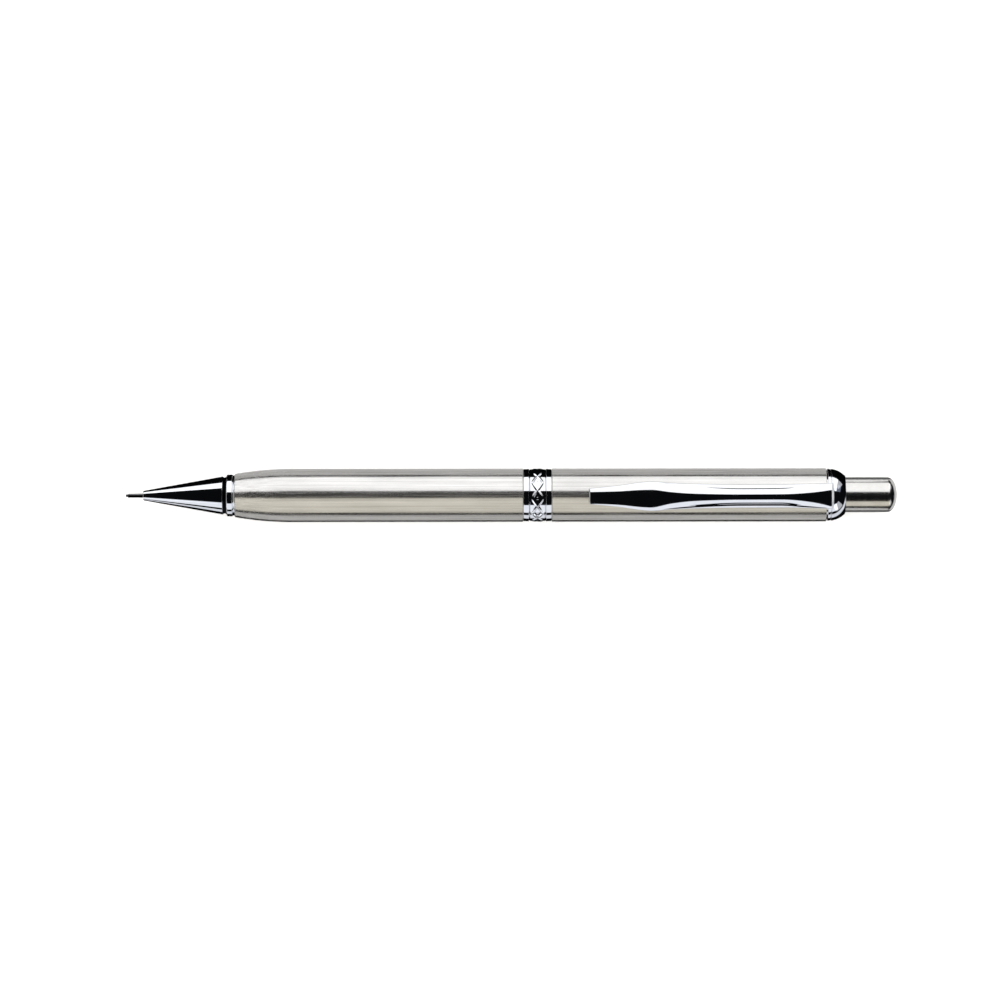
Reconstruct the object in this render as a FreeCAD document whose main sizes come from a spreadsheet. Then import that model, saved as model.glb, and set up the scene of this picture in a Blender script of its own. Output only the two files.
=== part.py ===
import FreeCAD, Part
import os
import re
import Sketcher

# A push-button mechanical pencil for 0.5 mm lead, in millimetres. It lies along X with its point
# towards -X and its clip up. The origin is under the middle of the pencil, on the surface that
# the barrel rests on. Every piece is drawn in one set of coordinates: x is the station, measured
# back from the point of the lead, and y or z is the distance from the pencil's axis.

# ---- driving dimensions ---------------------------------------------------------------------
SIZES = {
    # lead, guide sleeve and rubber retainer
    "lead_diameter": 0.5,
    "lead_length": 60.0,
    "lead_out": 0.4,
    "sleeve_wall": 0.1,
    "sleeve_out": 2.7,
    "retainer_diameter": 2.2,
    "retainer_length": 2.0,
    # point: polished cone, groove behind it and ring at the mouth of the barrel
    "nose_diameter": 1.7,
    "cone_length": 14.2,
    "cone_diameter": 6.8,
    "groove_width": 0.6,
    "groove_depth": 0.25,
    "ring_width": 1.5,
    "ring_diameter": 7.4,
    "shank_diameter": 5.9,
    "shank_length": 6.1,
    "ring_shank_length": 5.1,
    # front barrel
    "mouth_diameter": 7.7,
    "ogive_length": 10.2,
    "barrel_diameter": 9.45,
    "barrel_wall": 0.4,
    "front_straight": 41.0,
    "barrel_edge": 0.12,
    # centre band and the coupling that carries it
    "band_width": 5.1,
    "band_seat_diameter": 8.0,
    "rim_step": 0.075,
    "rim_crown": 0.06,
    "belt_width": 2.6,
    "belt_depth": 0.25,
    "rim_groove": 0.25,
    "lozenge_count": 9,
    "lozenge_length": 2.0,
    "lozenge_width": 1.9,
    "coupling_front": 6.6,
    "coupling_thread": 6.8,
    "coupling_thread_diameter": 7.86,
    "coupling_bore": 6.0,
    # rear barrel, collar and clip
    "rear_length": 48.7,
    "liner_bore": 7.2,
    "collar_gap": 0.2,
    "collar_length": 3.2,
    "collar_rim": 0.25,
    "collar_step": 0.105,
    "collar_end_wall": 0.18,
    "collar_thread": 6.6,
    "collar_shank_wall": 0.33,
    "collar_lip": 0.5,
    "bush_wall": 0.43,
    "clip_length": 43.7,
    "clip_overhang": 1.3,
    "clip_thickness": 1.0,
    "clip_lift": 0.75,
    "clip_touch_gap": 0.08,
    "clip_tip_rise": 0.35,
    "clip_tip_to_touch": 4.8,
    "clip_tip_to_belly": 10.8,
    "clip_tip_to_crest": 25.8,
    "clip_tip_to_waist": 30.6,
    "clip_root_flat": 4.9,
    "clip_tip_width": 2.8,
    "clip_belly_width": 5.3,
    "clip_waist_width": 4.3,
    "clip_root_width": 4.7,
    "foot_thickness": 0.75,
    "foot_width": 2.4,
    "foot_setback": 0.15,
    "foot_depth": 1.0,
    "foot_play": 0.15,
    # clutch: brass chuck, ring, sleeve and spring
    "stop_setback": 4.3,
    "chamber_diameter": 3.2,
    "chamber_gap": 0.1,
    "push_travel": 3.5,
    "push_spare": 0.4,
    "ring_travel": 0.8,
    "flare_diameter": 3.0,
    "flare_length": 0.7,
    "head_diameter": 2.54,
    "head_length": 2.8,
    "stem_diameter": 2.0,
    "chuck_length": 19.9,
    "chuck_passage": 0.2,
    "slit_width": 0.2,
    "slit_length": 9.9,
    "clutch_ring_length": 2.5,
    "clutch_ring_diameter": 3.5,
    "chuck_sleeve_diameter": 4.6,
    "chuck_sleeve_length": 33.0,
    "web_from_front": 6.0,
    "web_thickness": 0.8,
    "guide_bore": 4.0,
    "flange_diameter": 5.8,
    "flange_thickness": 0.9,
    "spring_diameter": 3.34,
    "spring_wire": 0.34,
    "spring_turns": 8,
    "spring_length": 10.0,
    # lead tube, tube head, eraser and button
    "lead_tube_bore": 3.04,
    "bush_length": 4.0,
    "spare_lead_setback": 10.0,
    "tube_head_grip": 6.5,
    "cup_wall": 0.33,
    "eraser_cup_depth": 3.0,
    "tube_end_setback": 9.0,
    "button_out": 9.2,
    "button_diameter": 6.2,
    "button_skirt": 3.9,
    "button_wall": 0.28,
    "button_end_wall": 0.8,
    "button_corner": 1.3,
    "button_corner_drop": 1.1,
    "button_dome": 0.3,
    "eraser_length": 6.6,
    "eraser_corner": 0.5,
    "ferrule_wall": 0.18,
    "ferrule_length": 3.8,
    "ferrule_web": 0.3,
    "pin_diameter": 0.4,
    "pin_length": 22.0,
    "pin_seat": 1.5,
    # clearances, each on the radius or along the axis
    "seat_gap": 0.02,
    "running_gap": 0.05,
    "end_gap": 0.05,
    "grip_gap": 0.07,
    "lead_gap": 0.03,
    "jaw_gap": 0.02,
}

# Stations and radii that follow from the sizes, by name. A formula may use another's name.
FORMULAS = {
    "sleeve_front": "lead_out",
    "cone_front": "lead_out + sleeve_out",
    "cone_back": "cone_front + cone_length",
    "ring_front": "cone_back + groove_width",
    "mouth": "ring_front + ring_width",
    "shoulder": "mouth + ogive_length",
    "front_end": "shoulder + front_straight",
    "rear_start": "front_end + band_width",
    "rear_end": "rear_start + rear_length",
    "collar_front": "rear_end + collar_gap",
    "collar_back": "collar_front + collar_length",
    "total_length": "collar_back + button_out",
    "barrel_radius": "barrel_diameter / 2",
    "barrel_bore_radius": "barrel_radius - barrel_wall",
    "mouth_radius": "mouth_diameter / 2",
    "liner_radius": "barrel_bore_radius - seat_gap",
    "ring_shank_radius": "mouth_radius - barrel_wall - seat_gap",
    "rim_radius": "barrel_radius - rim_step",
    "belt_floor_radius": "barrel_radius - belt_depth",
    "collar_radius": "barrel_radius - collar_step",
    "lead_radius": "lead_diameter / 2",
    "sleeve_bore_radius": "lead_radius + lead_gap",
    "sleeve_radius": "sleeve_bore_radius + sleeve_wall",
    "ring_stop": "cone_back - stop_setback",
    "clutch_front": "ring_stop + end_gap + ring_travel",
    "flare_back": "clutch_front - end_gap",
    "head_back": "flare_back + head_length",
    "chuck_front": "flare_back - flare_length",
    "chuck_back": "chuck_front + chuck_length",
    "chamber_front": "chuck_front - push_travel - push_spare",
    "retainer_back": "chamber_front - chamber_gap",
    "retainer_front": "retainer_back - retainer_length",
    "sleeve_back": "retainer_front - end_gap",
    "chuck_sleeve_front": "ring_stop + end_gap",
    "chuck_sleeve_back": "chuck_sleeve_front + chuck_sleeve_length",
    "shank_back": "ring_front + shank_length",
    "flange_front": "shank_back + end_gap",
    "flange_back": "flange_front + flange_thickness",
    "web_front": "chuck_sleeve_front + web_from_front",
    "web_back": "web_front + web_thickness",
    "clutch_bore_radius": "clutch_ring_diameter / 2 + running_gap",
    "sleeve_seat_radius": "chuck_sleeve_diameter / 2 + seat_gap",
    "liner_front": "flange_back + end_gap",
    "liner_step": "chuck_sleeve_back + 1",
    "coupling_start": "front_end - coupling_front",
    "coupling_end": "rear_start + coupling_thread",
    "coupling_thread_radius": "coupling_thread_diameter / 2",
    "button_radius": "button_diameter / 2",
    "button_bore_radius": "button_radius - button_wall",
    "guide_radius": "button_radius + running_gap",
    "bush_radius": "guide_radius + bush_wall",
    "collar_bore_radius": "bush_radius + seat_gap",
    "collar_shank_radius": "collar_bore_radius + collar_shank_wall",
    "collar_shank_front": "collar_front - collar_thread",
    "collar_end_radius": "guide_radius + collar_end_wall",
    "spring_front": "web_back + end_gap",
    "tube_front": "spring_front + spring_length + end_gap",
    "tube_back": "total_length - tube_end_setback",
    "lead_tube_radius": "guide_bore / 2 - running_gap",
    "lead_tube_bore_radius": "lead_tube_bore / 2",
    "tube_head_front": "tube_back - tube_head_grip",
    "tube_head_radius": "button_bore_radius - grip_gap",
    "cup_radius": "tube_head_radius - cup_wall",
    "cup_back": "tube_back + eraser_cup_depth",
    "ferrule_radius": "cup_radius - seat_gap",
    "holder_bore_radius": "ferrule_radius - ferrule_wall",
    "eraser_radius": "holder_bore_radius - seat_gap",
    "ferrule_front": "tube_back + end_gap",
    "eraser_front": "ferrule_front + ferrule_web + end_gap",
    "eraser_back": "eraser_front + eraser_length",
    "pin_radius": "pin_diameter / 2",
    "button_front": "collar_back - button_skirt",
    "button_face": "total_length - button_dome",
    "button_face_radius": "button_radius - button_corner_drop",
    "clip_back": "collar_front + clip_overhang",
    "clip_tip": "clip_back - clip_length",
    "clip_touch": "clip_tip + clip_tip_to_touch",
    "clip_belly": "clip_tip + clip_tip_to_belly",
    "clip_crest": "clip_tip + clip_tip_to_crest",
    "clip_waist": "clip_tip + clip_tip_to_waist",
    "clip_shoulder": "clip_back - clip_root_flat",
    "clip_low": "barrel_radius + clip_touch_gap",
    "clip_high": "clip_low + clip_lift",
    "clip_middle": "clip_low + clip_lift / 2",
    "foot_front": "collar_front + foot_setback",
    "foot_back": "foot_front + foot_thickness",
    "foot_bottom": "clip_low - foot_depth",
    "axis_height": "barrel_radius",
}

doc = FreeCAD.newDocument("mechanical_pencil")
sheet = doc.addObject("Spreadsheet::Sheet", "sizes")
for row, (alias, value) in enumerate(SIZES.items(), start=1):
    sheet.set(f"A{row}", alias.replace("_", " "))
    sheet.set(f"B{row}", str(value))
    sheet.setAlias(f"B{row}", alias)
doc.recompute()

WORD = re.compile(r"[a-z]+(?:_[a-z]+)*")


def formula(text):
    """The expression for the document: sizes point at the sheet, named formulas are spelt out."""

    def spell(match):
        word = match.group(0)
        if word in FORMULAS:
            return "(" + formula(FORMULAS[word]) + ")"
        if word in SIZES:
            return "sizes." + word
        return word

    return WORD.sub(spell, str(text))


def number(text):
    """The present value of a formula, in millimetres."""
    return float(sheet.evalExpression(formula(text)))


def bind(thing, target, text):
    thing.setExpression(target, formula(text))


def place(thing):
    """Puts a piece drawn in stations into the pencil's own frame."""
    bind(thing, "Placement.Base.x", "-(total_length) / 2")
    bind(thing, "Placement.Base.z", "axis_height")


# ---- sketches -------------------------------------------------------------------------------
def new_sketch(body, name, plane):
    sketch = body.newObject("Sketcher::SketchObject", name)
    base = [part for part in body.Origin.OriginFeatures if part.Role == plane][0]
    sketch.AttachmentSupport = [(base, "")]
    sketch.MapMode = "FlatFace"
    return sketch


def arc_between(start, end, centre_x):
    """The short arc from start to end whose centre stands at centre_x, and whether it turns left."""
    rise = end.y - start.y
    spread = (end.x - centre_x) ** 2 - (start.x - centre_x) ** 2 + end.y**2 - start.y**2
    centre = FreeCAD.Vector(centre_x, spread / (2 * rise), 0)
    first = start - centre
    last = end - centre
    left = first.cross(last).z > 0
    begin, finish = (first, last) if left else (last, first)
    circle = Part.Circle(centre, FreeCAD.Vector(0, 0, 1), first.Length)
    return Part.ArcOfCircle(circle, circle.parameter(centre + begin), circle.parameter(centre + finish)), left


def draw_outline(sketch, outline):
    """Adds a closed outline to a sketch. A corner is (x, y); a third value makes the side that
    leads to it an arc whose centre has that x. Every corner and centre is bound to its formula."""
    points = [FreeCAD.Vector(number(corner[0]), number(corner[1]), 0) for corner in outline]
    ends = []
    for i, corner in enumerate(outline):
        start = points[i - 1]
        if len(corner) == 3:
            arc, left = arc_between(start, points[i], number(corner[2]))
            side = sketch.addGeometry(arc, False)
            ends.append((side, 1, 2) if left else (side, 2, 1))
        else:
            side = sketch.addGeometry(Part.LineSegment(start, points[i]), False)
            ends.append((side, 1, 2))
    for i, corner in enumerate(outline):
        side, _, last = ends[i]
        following, following_first, _ = ends[(i + 1) % len(ends)]
        joined = Sketcher.Constraint("Coincident", side, last, following, following_first)
        sketch.addConstraint(joined)
        measures = (("DistanceX", corner[0], points[i].x), ("DistanceY", corner[1], points[i].y))
        for kind, text, measure in measures:
            index = sketch.addConstraint(Sketcher.Constraint(kind, -1, 1, side, last, measure))
            bind(sketch, f"Constraints[{index}]", text)
        if len(corner) == 3:
            hub = Sketcher.Constraint("DistanceX", -1, 1, side, 3, number(corner[2]))
            index = sketch.addConstraint(hub)
            bind(sketch, f"Constraints[{index}]", corner[2])


def turned(name, outline):
    """A piece turned on the lathe: its half section, revolved about the pencil's axis."""
    body = doc.addObject("PartDesign::Body", name)
    sketch = new_sketch(body, name + "_section", "XY_Plane")
    draw_outline(sketch, outline)
    turn = body.newObject("PartDesign::Revolution", name + "_turning")
    turn.Profile = sketch
    turn.ReferenceAxis = (sketch, ["H_Axis"])
    turn.Angle = 360
    place(body)
    doc.recompute()
    return body


def tube(name, front, back, bore, outside):
    return turned(name, [(front, bore), (front, outside), (back, outside), (back, bore)])


def box_outline(x_low, x_high, y_low, y_high):
    return [(x_low, y_low), (x_high, y_low), (x_high, y_high), (x_low, y_high)]


def sawn(body, name, outline, width, plane="XZ_Plane"):
    """A cut straight through the piece, of the outline's shape, to half the width on each side."""
    before = body.Shape.Volume
    sketch = new_sketch(body, name + "_outline", plane)
    draw_outline(sketch, outline)
    cut = body.newObject("PartDesign::Pocket", name)
    cut.Profile = sketch
    cut.Midplane = True
    bind(cut, "Length", width)
    doc.recompute()
    if not body.Shape.Volume < before - 1e-4:
        raise RuntimeError(name + " removed nothing")
    return cut


def round_the_axis(body, feature, count):
    """Repeats a cut round the pencil's axis."""
    ring = body.newObject("PartDesign::PolarPattern", feature.Name + "_round")
    ring.Originals = [feature]
    axis = [part for part in body.Origin.OriginFeatures if part.Role == "X_Axis"][0]
    ring.Axis = (axis, [""])
    ring.Angle = 360
    bind(ring, "Occurrences", count)
    body.Tip = ring
    doc.recompute()


# ---- lead and point -------------------------------------------------------------------------
def make_lead():
    outline = [("0", "0"), ("0", "lead_radius"), ("lead_length", "lead_radius"), ("lead_length", "0")]
    turned("lead", outline)


def make_point():
    tube("lead_sleeve", "sleeve_front", "sleeve_back", "sleeve_bore_radius", "sleeve_radius")
    tube(
        "lead_retainer",
        "retainer_front",
        "retainer_back",
        "lead_radius + lead_gap",
        "retainer_diameter / 2",
    )
    sleeve_hole = "sleeve_radius + seat_gap"
    retainer_hole = "retainer_diameter / 2 + seat_gap"
    chamber = "chamber_diameter / 2"
    groove = "cone_diameter / 2 - groove_depth"
    turned(
        "tip_cone",
        [
            ("cone_front", sleeve_hole),
            ("cone_front", "nose_diameter / 2"),
            ("cone_back", "cone_diameter / 2"),
            ("cone_back", groove),
            ("ring_front", groove),
            ("ring_front", "shank_diameter / 2"),
            ("shank_back", "shank_diameter / 2"),
            ("shank_back", "sleeve_seat_radius"),
            ("ring_stop", "sleeve_seat_radius"),
            ("ring_stop", chamber),
            ("chamber_front", chamber),
            ("chamber_front", retainer_hole),
            ("sleeve_back", retainer_hole),
            ("sleeve_back", sleeve_hole),
        ],
    )
    ring_bore = "shank_diameter / 2 + seat_gap"
    ring_back = "mouth + ring_shank_length"
    turned(
        "tip_ring",
        [
            ("ring_front + end_gap", ring_bore),
            ("ring_front + end_gap", "ring_diameter / 2"),
            ("mouth", "ring_diameter / 2"),
            ("mouth", "ring_shank_radius"),
            (ring_back, "ring_shank_radius"),
            (ring_back, ring_bore),
        ],
    )


# ---- barrels, band and what lines them --------------------------------------------------------
def make_front_barrel():
    # The nose of the barrel is an arc that runs smoothly into the straight tube at the shoulder.
    front = "mouth + end_gap"
    turned(
        "front_barrel",
        [
            (front, "mouth_radius - barrel_wall", "shoulder"),
            (front, "mouth_radius"),
            ("shoulder", "barrel_radius", "shoulder"),
            ("front_end - barrel_edge", "barrel_radius"),
            ("front_end", "barrel_radius - barrel_edge", "front_end - barrel_edge"),
            ("front_end", "barrel_bore_radius"),
            ("shoulder", "barrel_bore_radius"),
        ],
    )


def make_liners():
    turned(
        "front_liner",
        [
            ("liner_front", "sleeve_seat_radius"),
            ("liner_front", "ring_shank_radius"),
            ("shoulder", "ring_shank_radius"),
            ("shoulder", "liner_radius"),
            ("coupling_start - end_gap", "liner_radius"),
            ("coupling_start - end_gap", "coupling_bore / 2"),
            ("liner_step", "coupling_bore / 2"),
            ("liner_step", "sleeve_seat_radius"),
        ],
    )
    front_thread = "coupling_thread_radius + seat_gap"
    rear_thread = "collar_shank_radius + seat_gap"
    bore = "liner_bore / 2"
    front = "rear_start + end_gap"
    turned(
        "rear_liner",
        [
            (front, front_thread),
            (front, "liner_radius"),
            ("rear_end", "liner_radius"),
            ("rear_end", rear_thread),
            ("collar_shank_front - end_gap", rear_thread),
            ("collar_shank_front - end_gap", bore),
            ("coupling_end + end_gap", bore),
            ("coupling_end + end_gap", front_thread),
        ],
    )


def make_coupling():
    bore = "coupling_bore / 2"
    turned(
        "coupling",
        [
            ("coupling_start", bore),
            ("coupling_start", "liner_radius"),
            ("front_end", "liner_radius"),
            ("front_end", "band_seat_diameter / 2"),
            ("rear_start", "band_seat_diameter / 2"),
            ("rear_start", "coupling_thread_radius"),
            ("coupling_end", "coupling_thread_radius"),
            ("coupling_end", bore),
        ],
    )


def make_centre_band():
    # Two crowned rims with a belt between them. Lozenges sunk into the belt leave a crossed strap.
    middle = "(front_end + rear_start) / 2"
    belt_front = f"{middle} - belt_width / 2"
    belt_back = f"{middle} + belt_width / 2"
    floor = "belt_floor_radius"
    bore = "band_seat_diameter / 2 + seat_gap"
    rim_edge = "rim_radius - rim_crown"
    band = turned(
        "centre_band",
        [
            ("front_end + end_gap", bore),
            ("front_end + end_gap", rim_edge),
            (f"{belt_front} - rim_groove", "rim_radius", f"{belt_front} - rim_groove"),
            (f"{belt_front} - rim_groove", floor),
            (belt_front, floor),
            (belt_front, "barrel_radius"),
            (belt_back, "barrel_radius"),
            (belt_back, floor),
            (f"{belt_back} + rim_groove", floor),
            (f"{belt_back} + rim_groove", "rim_radius"),
            ("rear_start - end_gap", rim_edge, f"{belt_back} + rim_groove"),
            ("rear_start - end_gap", bore),
        ],
    )
    before = band.Shape.Volume
    sketch = new_sketch(band, "lozenge_outline", "XY_Plane")
    bind(sketch, "AttachmentOffset.Base.z", floor)
    draw_outline(
        sketch,
        [
            (f"{middle} - lozenge_length / 2", "0"),
            (middle, "-lozenge_width / 2"),
            (f"{middle} + lozenge_length / 2", "0"),
            (middle, "lozenge_width / 2"),
        ],
    )
    lozenge = band.newObject("PartDesign::Pocket", "lozenge")
    lozenge.Profile = sketch
    lozenge.Reversed = True
    bind(lozenge, "Length", "2 * belt_depth")
    doc.recompute()
    round_the_axis(band, lozenge, "lozenge_count")
    if not band.Shape.Volume < before - 1:
        raise RuntimeError("the lozenges removed nothing")


def make_rear_barrel():
    bore = "barrel_bore_radius"
    edge = "barrel_radius - barrel_edge"
    turned(
        "rear_barrel",
        [
            ("rear_start", bore),
            ("rear_start", edge),
            ("rear_start + barrel_edge", "barrel_radius", "rear_start + barrel_edge"),
            ("rear_end - barrel_edge", "barrel_radius"),
            ("rear_end", edge, "rear_end - barrel_edge"),
            ("rear_end", bore),
        ],
    )


# ---- collar and clip ------------------------------------------------------------------------
def make_collar():
    rim_back = "collar_front + collar_rim"
    lip_front = "collar_back - collar_lip"
    collar = turned(
        "collar",
        [
            ("collar_shank_front", "collar_bore_radius"),
            ("collar_shank_front", "collar_shank_radius"),
            ("collar_front", "collar_shank_radius"),
            ("collar_front", "collar_radius"),
            (rim_back, "collar_radius"),
            ("collar_back", "collar_end_radius", rim_back),
            ("collar_back", "guide_radius"),
            (lip_front, "guide_radius"),
            (lip_front, "collar_bore_radius"),
        ],
    )
    slot = box_outline(
        "foot_front - foot_play - collar_gap",
        "foot_back + foot_play",
        "foot_bottom - foot_play",
        "collar_radius + 1",
    )
    sawn(collar, "foot_slot", slot, "foot_width + 2 * foot_play")
    tube("collar_bush", "collar_shank_front", lip_front + " - end_gap", "guide_radius", "bush_radius")


def make_clip():
    """A springy leaf. Its side view is a strip bent from arcs; a second outline, seen from above,
    trims it to a narrow tip, a belly, a waist and a wider root. A foot locks it into the collar."""
    body = doc.addObject("PartDesign::Body", "clip")
    rising = "(clip_touch + clip_crest) / 2"
    falling = "(clip_crest + clip_shoulder) / 2"
    tip_height = "clip_low + clip_tip_rise"
    thick = " + clip_thickness"
    side = new_sketch(body, "clip_side", "XZ_Plane")
    draw_outline(
        side,
        [
            ("clip_tip", tip_height),
            ("clip_touch", "clip_low", "clip_touch"),
            (rising, "clip_middle", "clip_touch"),
            ("clip_crest", "clip_high", "clip_crest"),
            (falling, "clip_middle", "clip_crest"),
            ("clip_shoulder", "clip_low", "clip_shoulder"),
            ("clip_back", "clip_low"),
            ("clip_back", "clip_low" + thick),
            ("clip_shoulder", "clip_low" + thick),
            (falling, "clip_middle" + thick, "clip_shoulder"),
            ("clip_crest", "clip_high" + thick, "clip_crest"),
            (rising, "clip_middle" + thick, "clip_crest"),
            ("clip_touch", "clip_low" + thick, "clip_touch"),
            ("clip_tip", tip_height + thick, "clip_touch"),
        ],
    )
    strip = body.newObject("PartDesign::Pad", "clip_strip")
    strip.Profile = side
    strip.Midplane = True
    bind(strip, "Length", "clip_belly_width + 2 * foot_play")
    doc.recompute()

    for sign, hand in (("", "left"), ("-", "right")):
        tip = sign + "clip_tip_width / 2"
        belly = sign + "clip_belly_width / 2"
        waist = sign + "clip_waist_width / 2"
        root = sign + "clip_root_width / 2"
        between = sign + "(clip_belly_width + clip_waist_width) / 4"
        outside = sign + "(clip_belly_width / 2 + 1)"
        turn_over = "(clip_belly + clip_waist) / 2"
        outline = [
            ("clip_tip - 1", tip),
            ("clip_tip", tip),
            ("clip_belly", belly, "clip_belly"),
            (turn_over, between, "clip_belly"),
            ("clip_waist", waist, "clip_waist"),
            ("clip_back", root, "clip_waist"),
            ("clip_back + 1", root),
            ("clip_back + 1", outside),
            ("clip_tip - 1", outside),
        ]
        before = body.Shape.Volume
        above = new_sketch(body, hand + "_edge", "XY_Plane")
        draw_outline(above, outline)
        trim = body.newObject("PartDesign::Pocket", hand + "_trim")
        trim.Profile = above
        trim.Midplane = True
        bind(trim, "Length", "2 * barrel_diameter")
        doc.recompute()
        if not body.Shape.Volume < before - 1:
            raise RuntimeError("the clip's " + hand + " edge was not trimmed")

    foot_side = new_sketch(body, "foot_side", "XZ_Plane")
    foot_top = "clip_low + clip_thickness / 2"
    draw_outline(foot_side, box_outline("foot_front", "foot_back", "foot_bottom", foot_top))
    foot = body.newObject("PartDesign::Pad", "foot")
    foot.Profile = foot_side
    foot.Midplane = True
    bind(foot, "Length", "foot_width")
    place(body)
    doc.recompute()


# ---- clutch -----------------------------------------------------------------------------------
def make_chuck():
    jaw_bore = "lead_radius + jaw_gap"
    passage = "lead_radius + chuck_passage"
    chuck = turned(
        "chuck",
        [
            ("chuck_front", jaw_bore),
            ("chuck_front", "flare_diameter / 2"),
            ("flare_back", "flare_diameter / 2"),
            ("flare_back", "head_diameter / 2"),
            ("head_back", "head_diameter / 2"),
            ("head_back", "stem_diameter / 2"),
            ("chuck_back", "stem_diameter / 2"),
            ("chuck_back", passage),
            ("head_back", passage),
            ("head_back", jaw_bore),
        ],
    )
    slit = box_outline("chuck_front - 1", "chuck_front + slit_length", "0", "flare_diameter")
    slit_cut = sawn(chuck, "slit", slit, "slit_width", "XY_Plane")
    round_the_axis(chuck, slit_cut, "3")


def make_clutch():
    make_chuck()
    tube(
        "clutch_ring",
        "clutch_front",
        "clutch_front + clutch_ring_length",
        "head_diameter / 2 + running_gap",
        "clutch_ring_diameter / 2",
    )
    outside = "chuck_sleeve_diameter / 2"
    web_bore = "stem_diameter / 2 + running_gap"
    turned(
        "chuck_sleeve",
        [
            ("chuck_sleeve_front", "clutch_bore_radius"),
            ("chuck_sleeve_front", outside),
            ("flange_front", outside),
            ("flange_front", "flange_diameter / 2"),
            ("flange_back", "flange_diameter / 2"),
            ("flange_back", outside),
            ("chuck_sleeve_back", outside),
            ("chuck_sleeve_back", "guide_bore / 2"),
            ("web_back", "guide_bore / 2"),
            ("web_back", web_bore),
            ("web_front", web_bore),
            ("web_front", "clutch_bore_radius"),
        ],
    )


def make_return_spring():
    """Round wire swept along a helix, one face to a turn, then laid along the pencil's axis."""
    coil = doc.addObject("Part::Helix", "spring_line")
    coil.SegmentLength = 1
    bind(coil, "Radius", "(spring_diameter - spring_wire) / 2")
    bind(coil, "Height", "spring_length - spring_wire")
    bind(coil, "Pitch", "(spring_length - spring_wire) / spring_turns")
    wire = doc.addObject("Part::Circle", "spring_wire_section")
    bind(wire, "Radius", "spring_wire / 2")
    bind(wire, "Placement.Base.x", "(spring_diameter - spring_wire) / 2")
    wire.Placement.Rotation = FreeCAD.Rotation(FreeCAD.Vector(1, 0, 0), 90)
    doc.recompute()
    spring = doc.addObject("Part::Sweep", "return_spring")
    spring.Sections = [wire]
    spring.Spine = (coil, [])
    spring.Solid = True
    spring.Frenet = True
    spring.Placement.Rotation = FreeCAD.Rotation(FreeCAD.Vector(0, 1, 0), 90)
    bind(spring, "Placement.Base.x", "spring_front + spring_wire / 2 - total_length / 2")
    bind(spring, "Placement.Base.z", "axis_height")
    doc.recompute()


# ---- lead store, eraser and button --------------------------------------------------------------
def make_lead_store():
    bush_radius = "lead_tube_bore_radius - seat_gap"
    bush_back = "tube_front + bush_length"
    tube("chuck_bush", "tube_front", bush_back, "stem_diameter / 2 + seat_gap", bush_radius)
    tube("lead_tube", "tube_front", "tube_back", "lead_tube_bore_radius", "lead_tube_radius")
    # Two spare leads lie side by side on the floor of the tube.
    leads = []
    for hand, sign in (("left", ""), ("right", "-")):
        lead = doc.addObject("Part::Cylinder", hand + "_spare_lead")
        bind(lead, "Radius", "lead_radius")
        bind(lead, "Height", "lead_length")
        lead.Placement.Rotation = FreeCAD.Rotation(FreeCAD.Vector(0, 1, 0), 90)
        bind(lead, "Placement.Base.x", "tube_front + spare_lead_setback - total_length / 2")
        aside = "lead_radius + lead_gap"
        reach = "lead_tube_bore_radius - lead_radius - lead_gap"
        bind(lead, "Placement.Base.y", f"{sign}({aside})")
        bind(lead, "Placement.Base.z", f"axis_height - sqrt(({reach})^2 - ({aside})^2)")
        leads.append(lead)
    store = doc.addObject("Part::Compound", "spare_leads")
    store.Links = leads
    doc.recompute()


def make_tube_head():
    tube_hole = "lead_tube_radius + seat_gap"
    turned(
        "tube_head",
        [
            ("tube_head_front", tube_hole),
            ("tube_head_front", "tube_head_radius"),
            ("cup_back", "tube_head_radius"),
            ("cup_back", "cup_radius"),
            ("tube_back", "cup_radius"),
            ("tube_back", tube_hole),
        ],
    )


def make_eraser():
    pin_hole = "pin_radius + seat_gap"
    turned(
        "eraser_holder",
        [
            ("ferrule_front", pin_hole),
            ("ferrule_front", "ferrule_radius"),
            ("ferrule_front + ferrule_length", "ferrule_radius"),
            ("ferrule_front + ferrule_length", "holder_bore_radius"),
            ("ferrule_front + ferrule_web", "holder_bore_radius"),
            ("ferrule_front + ferrule_web", pin_hole),
        ],
    )
    pin_back = "eraser_front + pin_seat"
    turned(
        "eraser",
        [
            ("eraser_front", pin_hole),
            ("eraser_front", "eraser_radius"),
            ("eraser_back - eraser_corner", "eraser_radius"),
            ("eraser_back", "eraser_radius - eraser_corner", "eraser_back - eraser_corner"),
            ("eraser_back", "0"),
            (pin_back + " + end_gap", "0"),
            (pin_back + " + end_gap", pin_hole),
        ],
    )
    pin_front = pin_back + " - pin_length"
    turned(
        "cleaning_pin",
        [(pin_front, "0"), (pin_front, "pin_radius"), (pin_back, "pin_radius"), (pin_back, "0")],
    )


def make_push_button():
    # The corner is an arc, and the end is a shallow dome centred on the axis.
    inner_end = "button_face - button_end_wall"
    dome_centre = "total_length - (button_face_radius^2 + button_dome^2) / (2 * button_dome)"
    turned(
        "push_button",
        [
            ("button_front", "button_bore_radius"),
            ("button_front", "button_radius"),
            ("button_face - button_corner", "button_radius"),
            ("button_face", "button_face_radius", "button_face - button_corner"),
            ("total_length", "0", dome_centre),
            (inner_end, "0"),
            (inner_end, "button_bore_radius"),
        ],
    )


# ---- build, check and write -----------------------------------------------------------------
make_lead()
make_point()
make_front_barrel()
make_liners()
make_coupling()
make_centre_band()
make_rear_barrel()
make_collar()
make_clip()
make_clutch()
make_return_spring()
make_lead_store()
make_tube_head()
make_eraser()
make_push_button()
doc.recompute()

NODES = [body for body in doc.Objects if body.TypeId == "PartDesign::Body"]
NODES += [doc.getObject("return_spring"), doc.getObject("spare_leads")]

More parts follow.
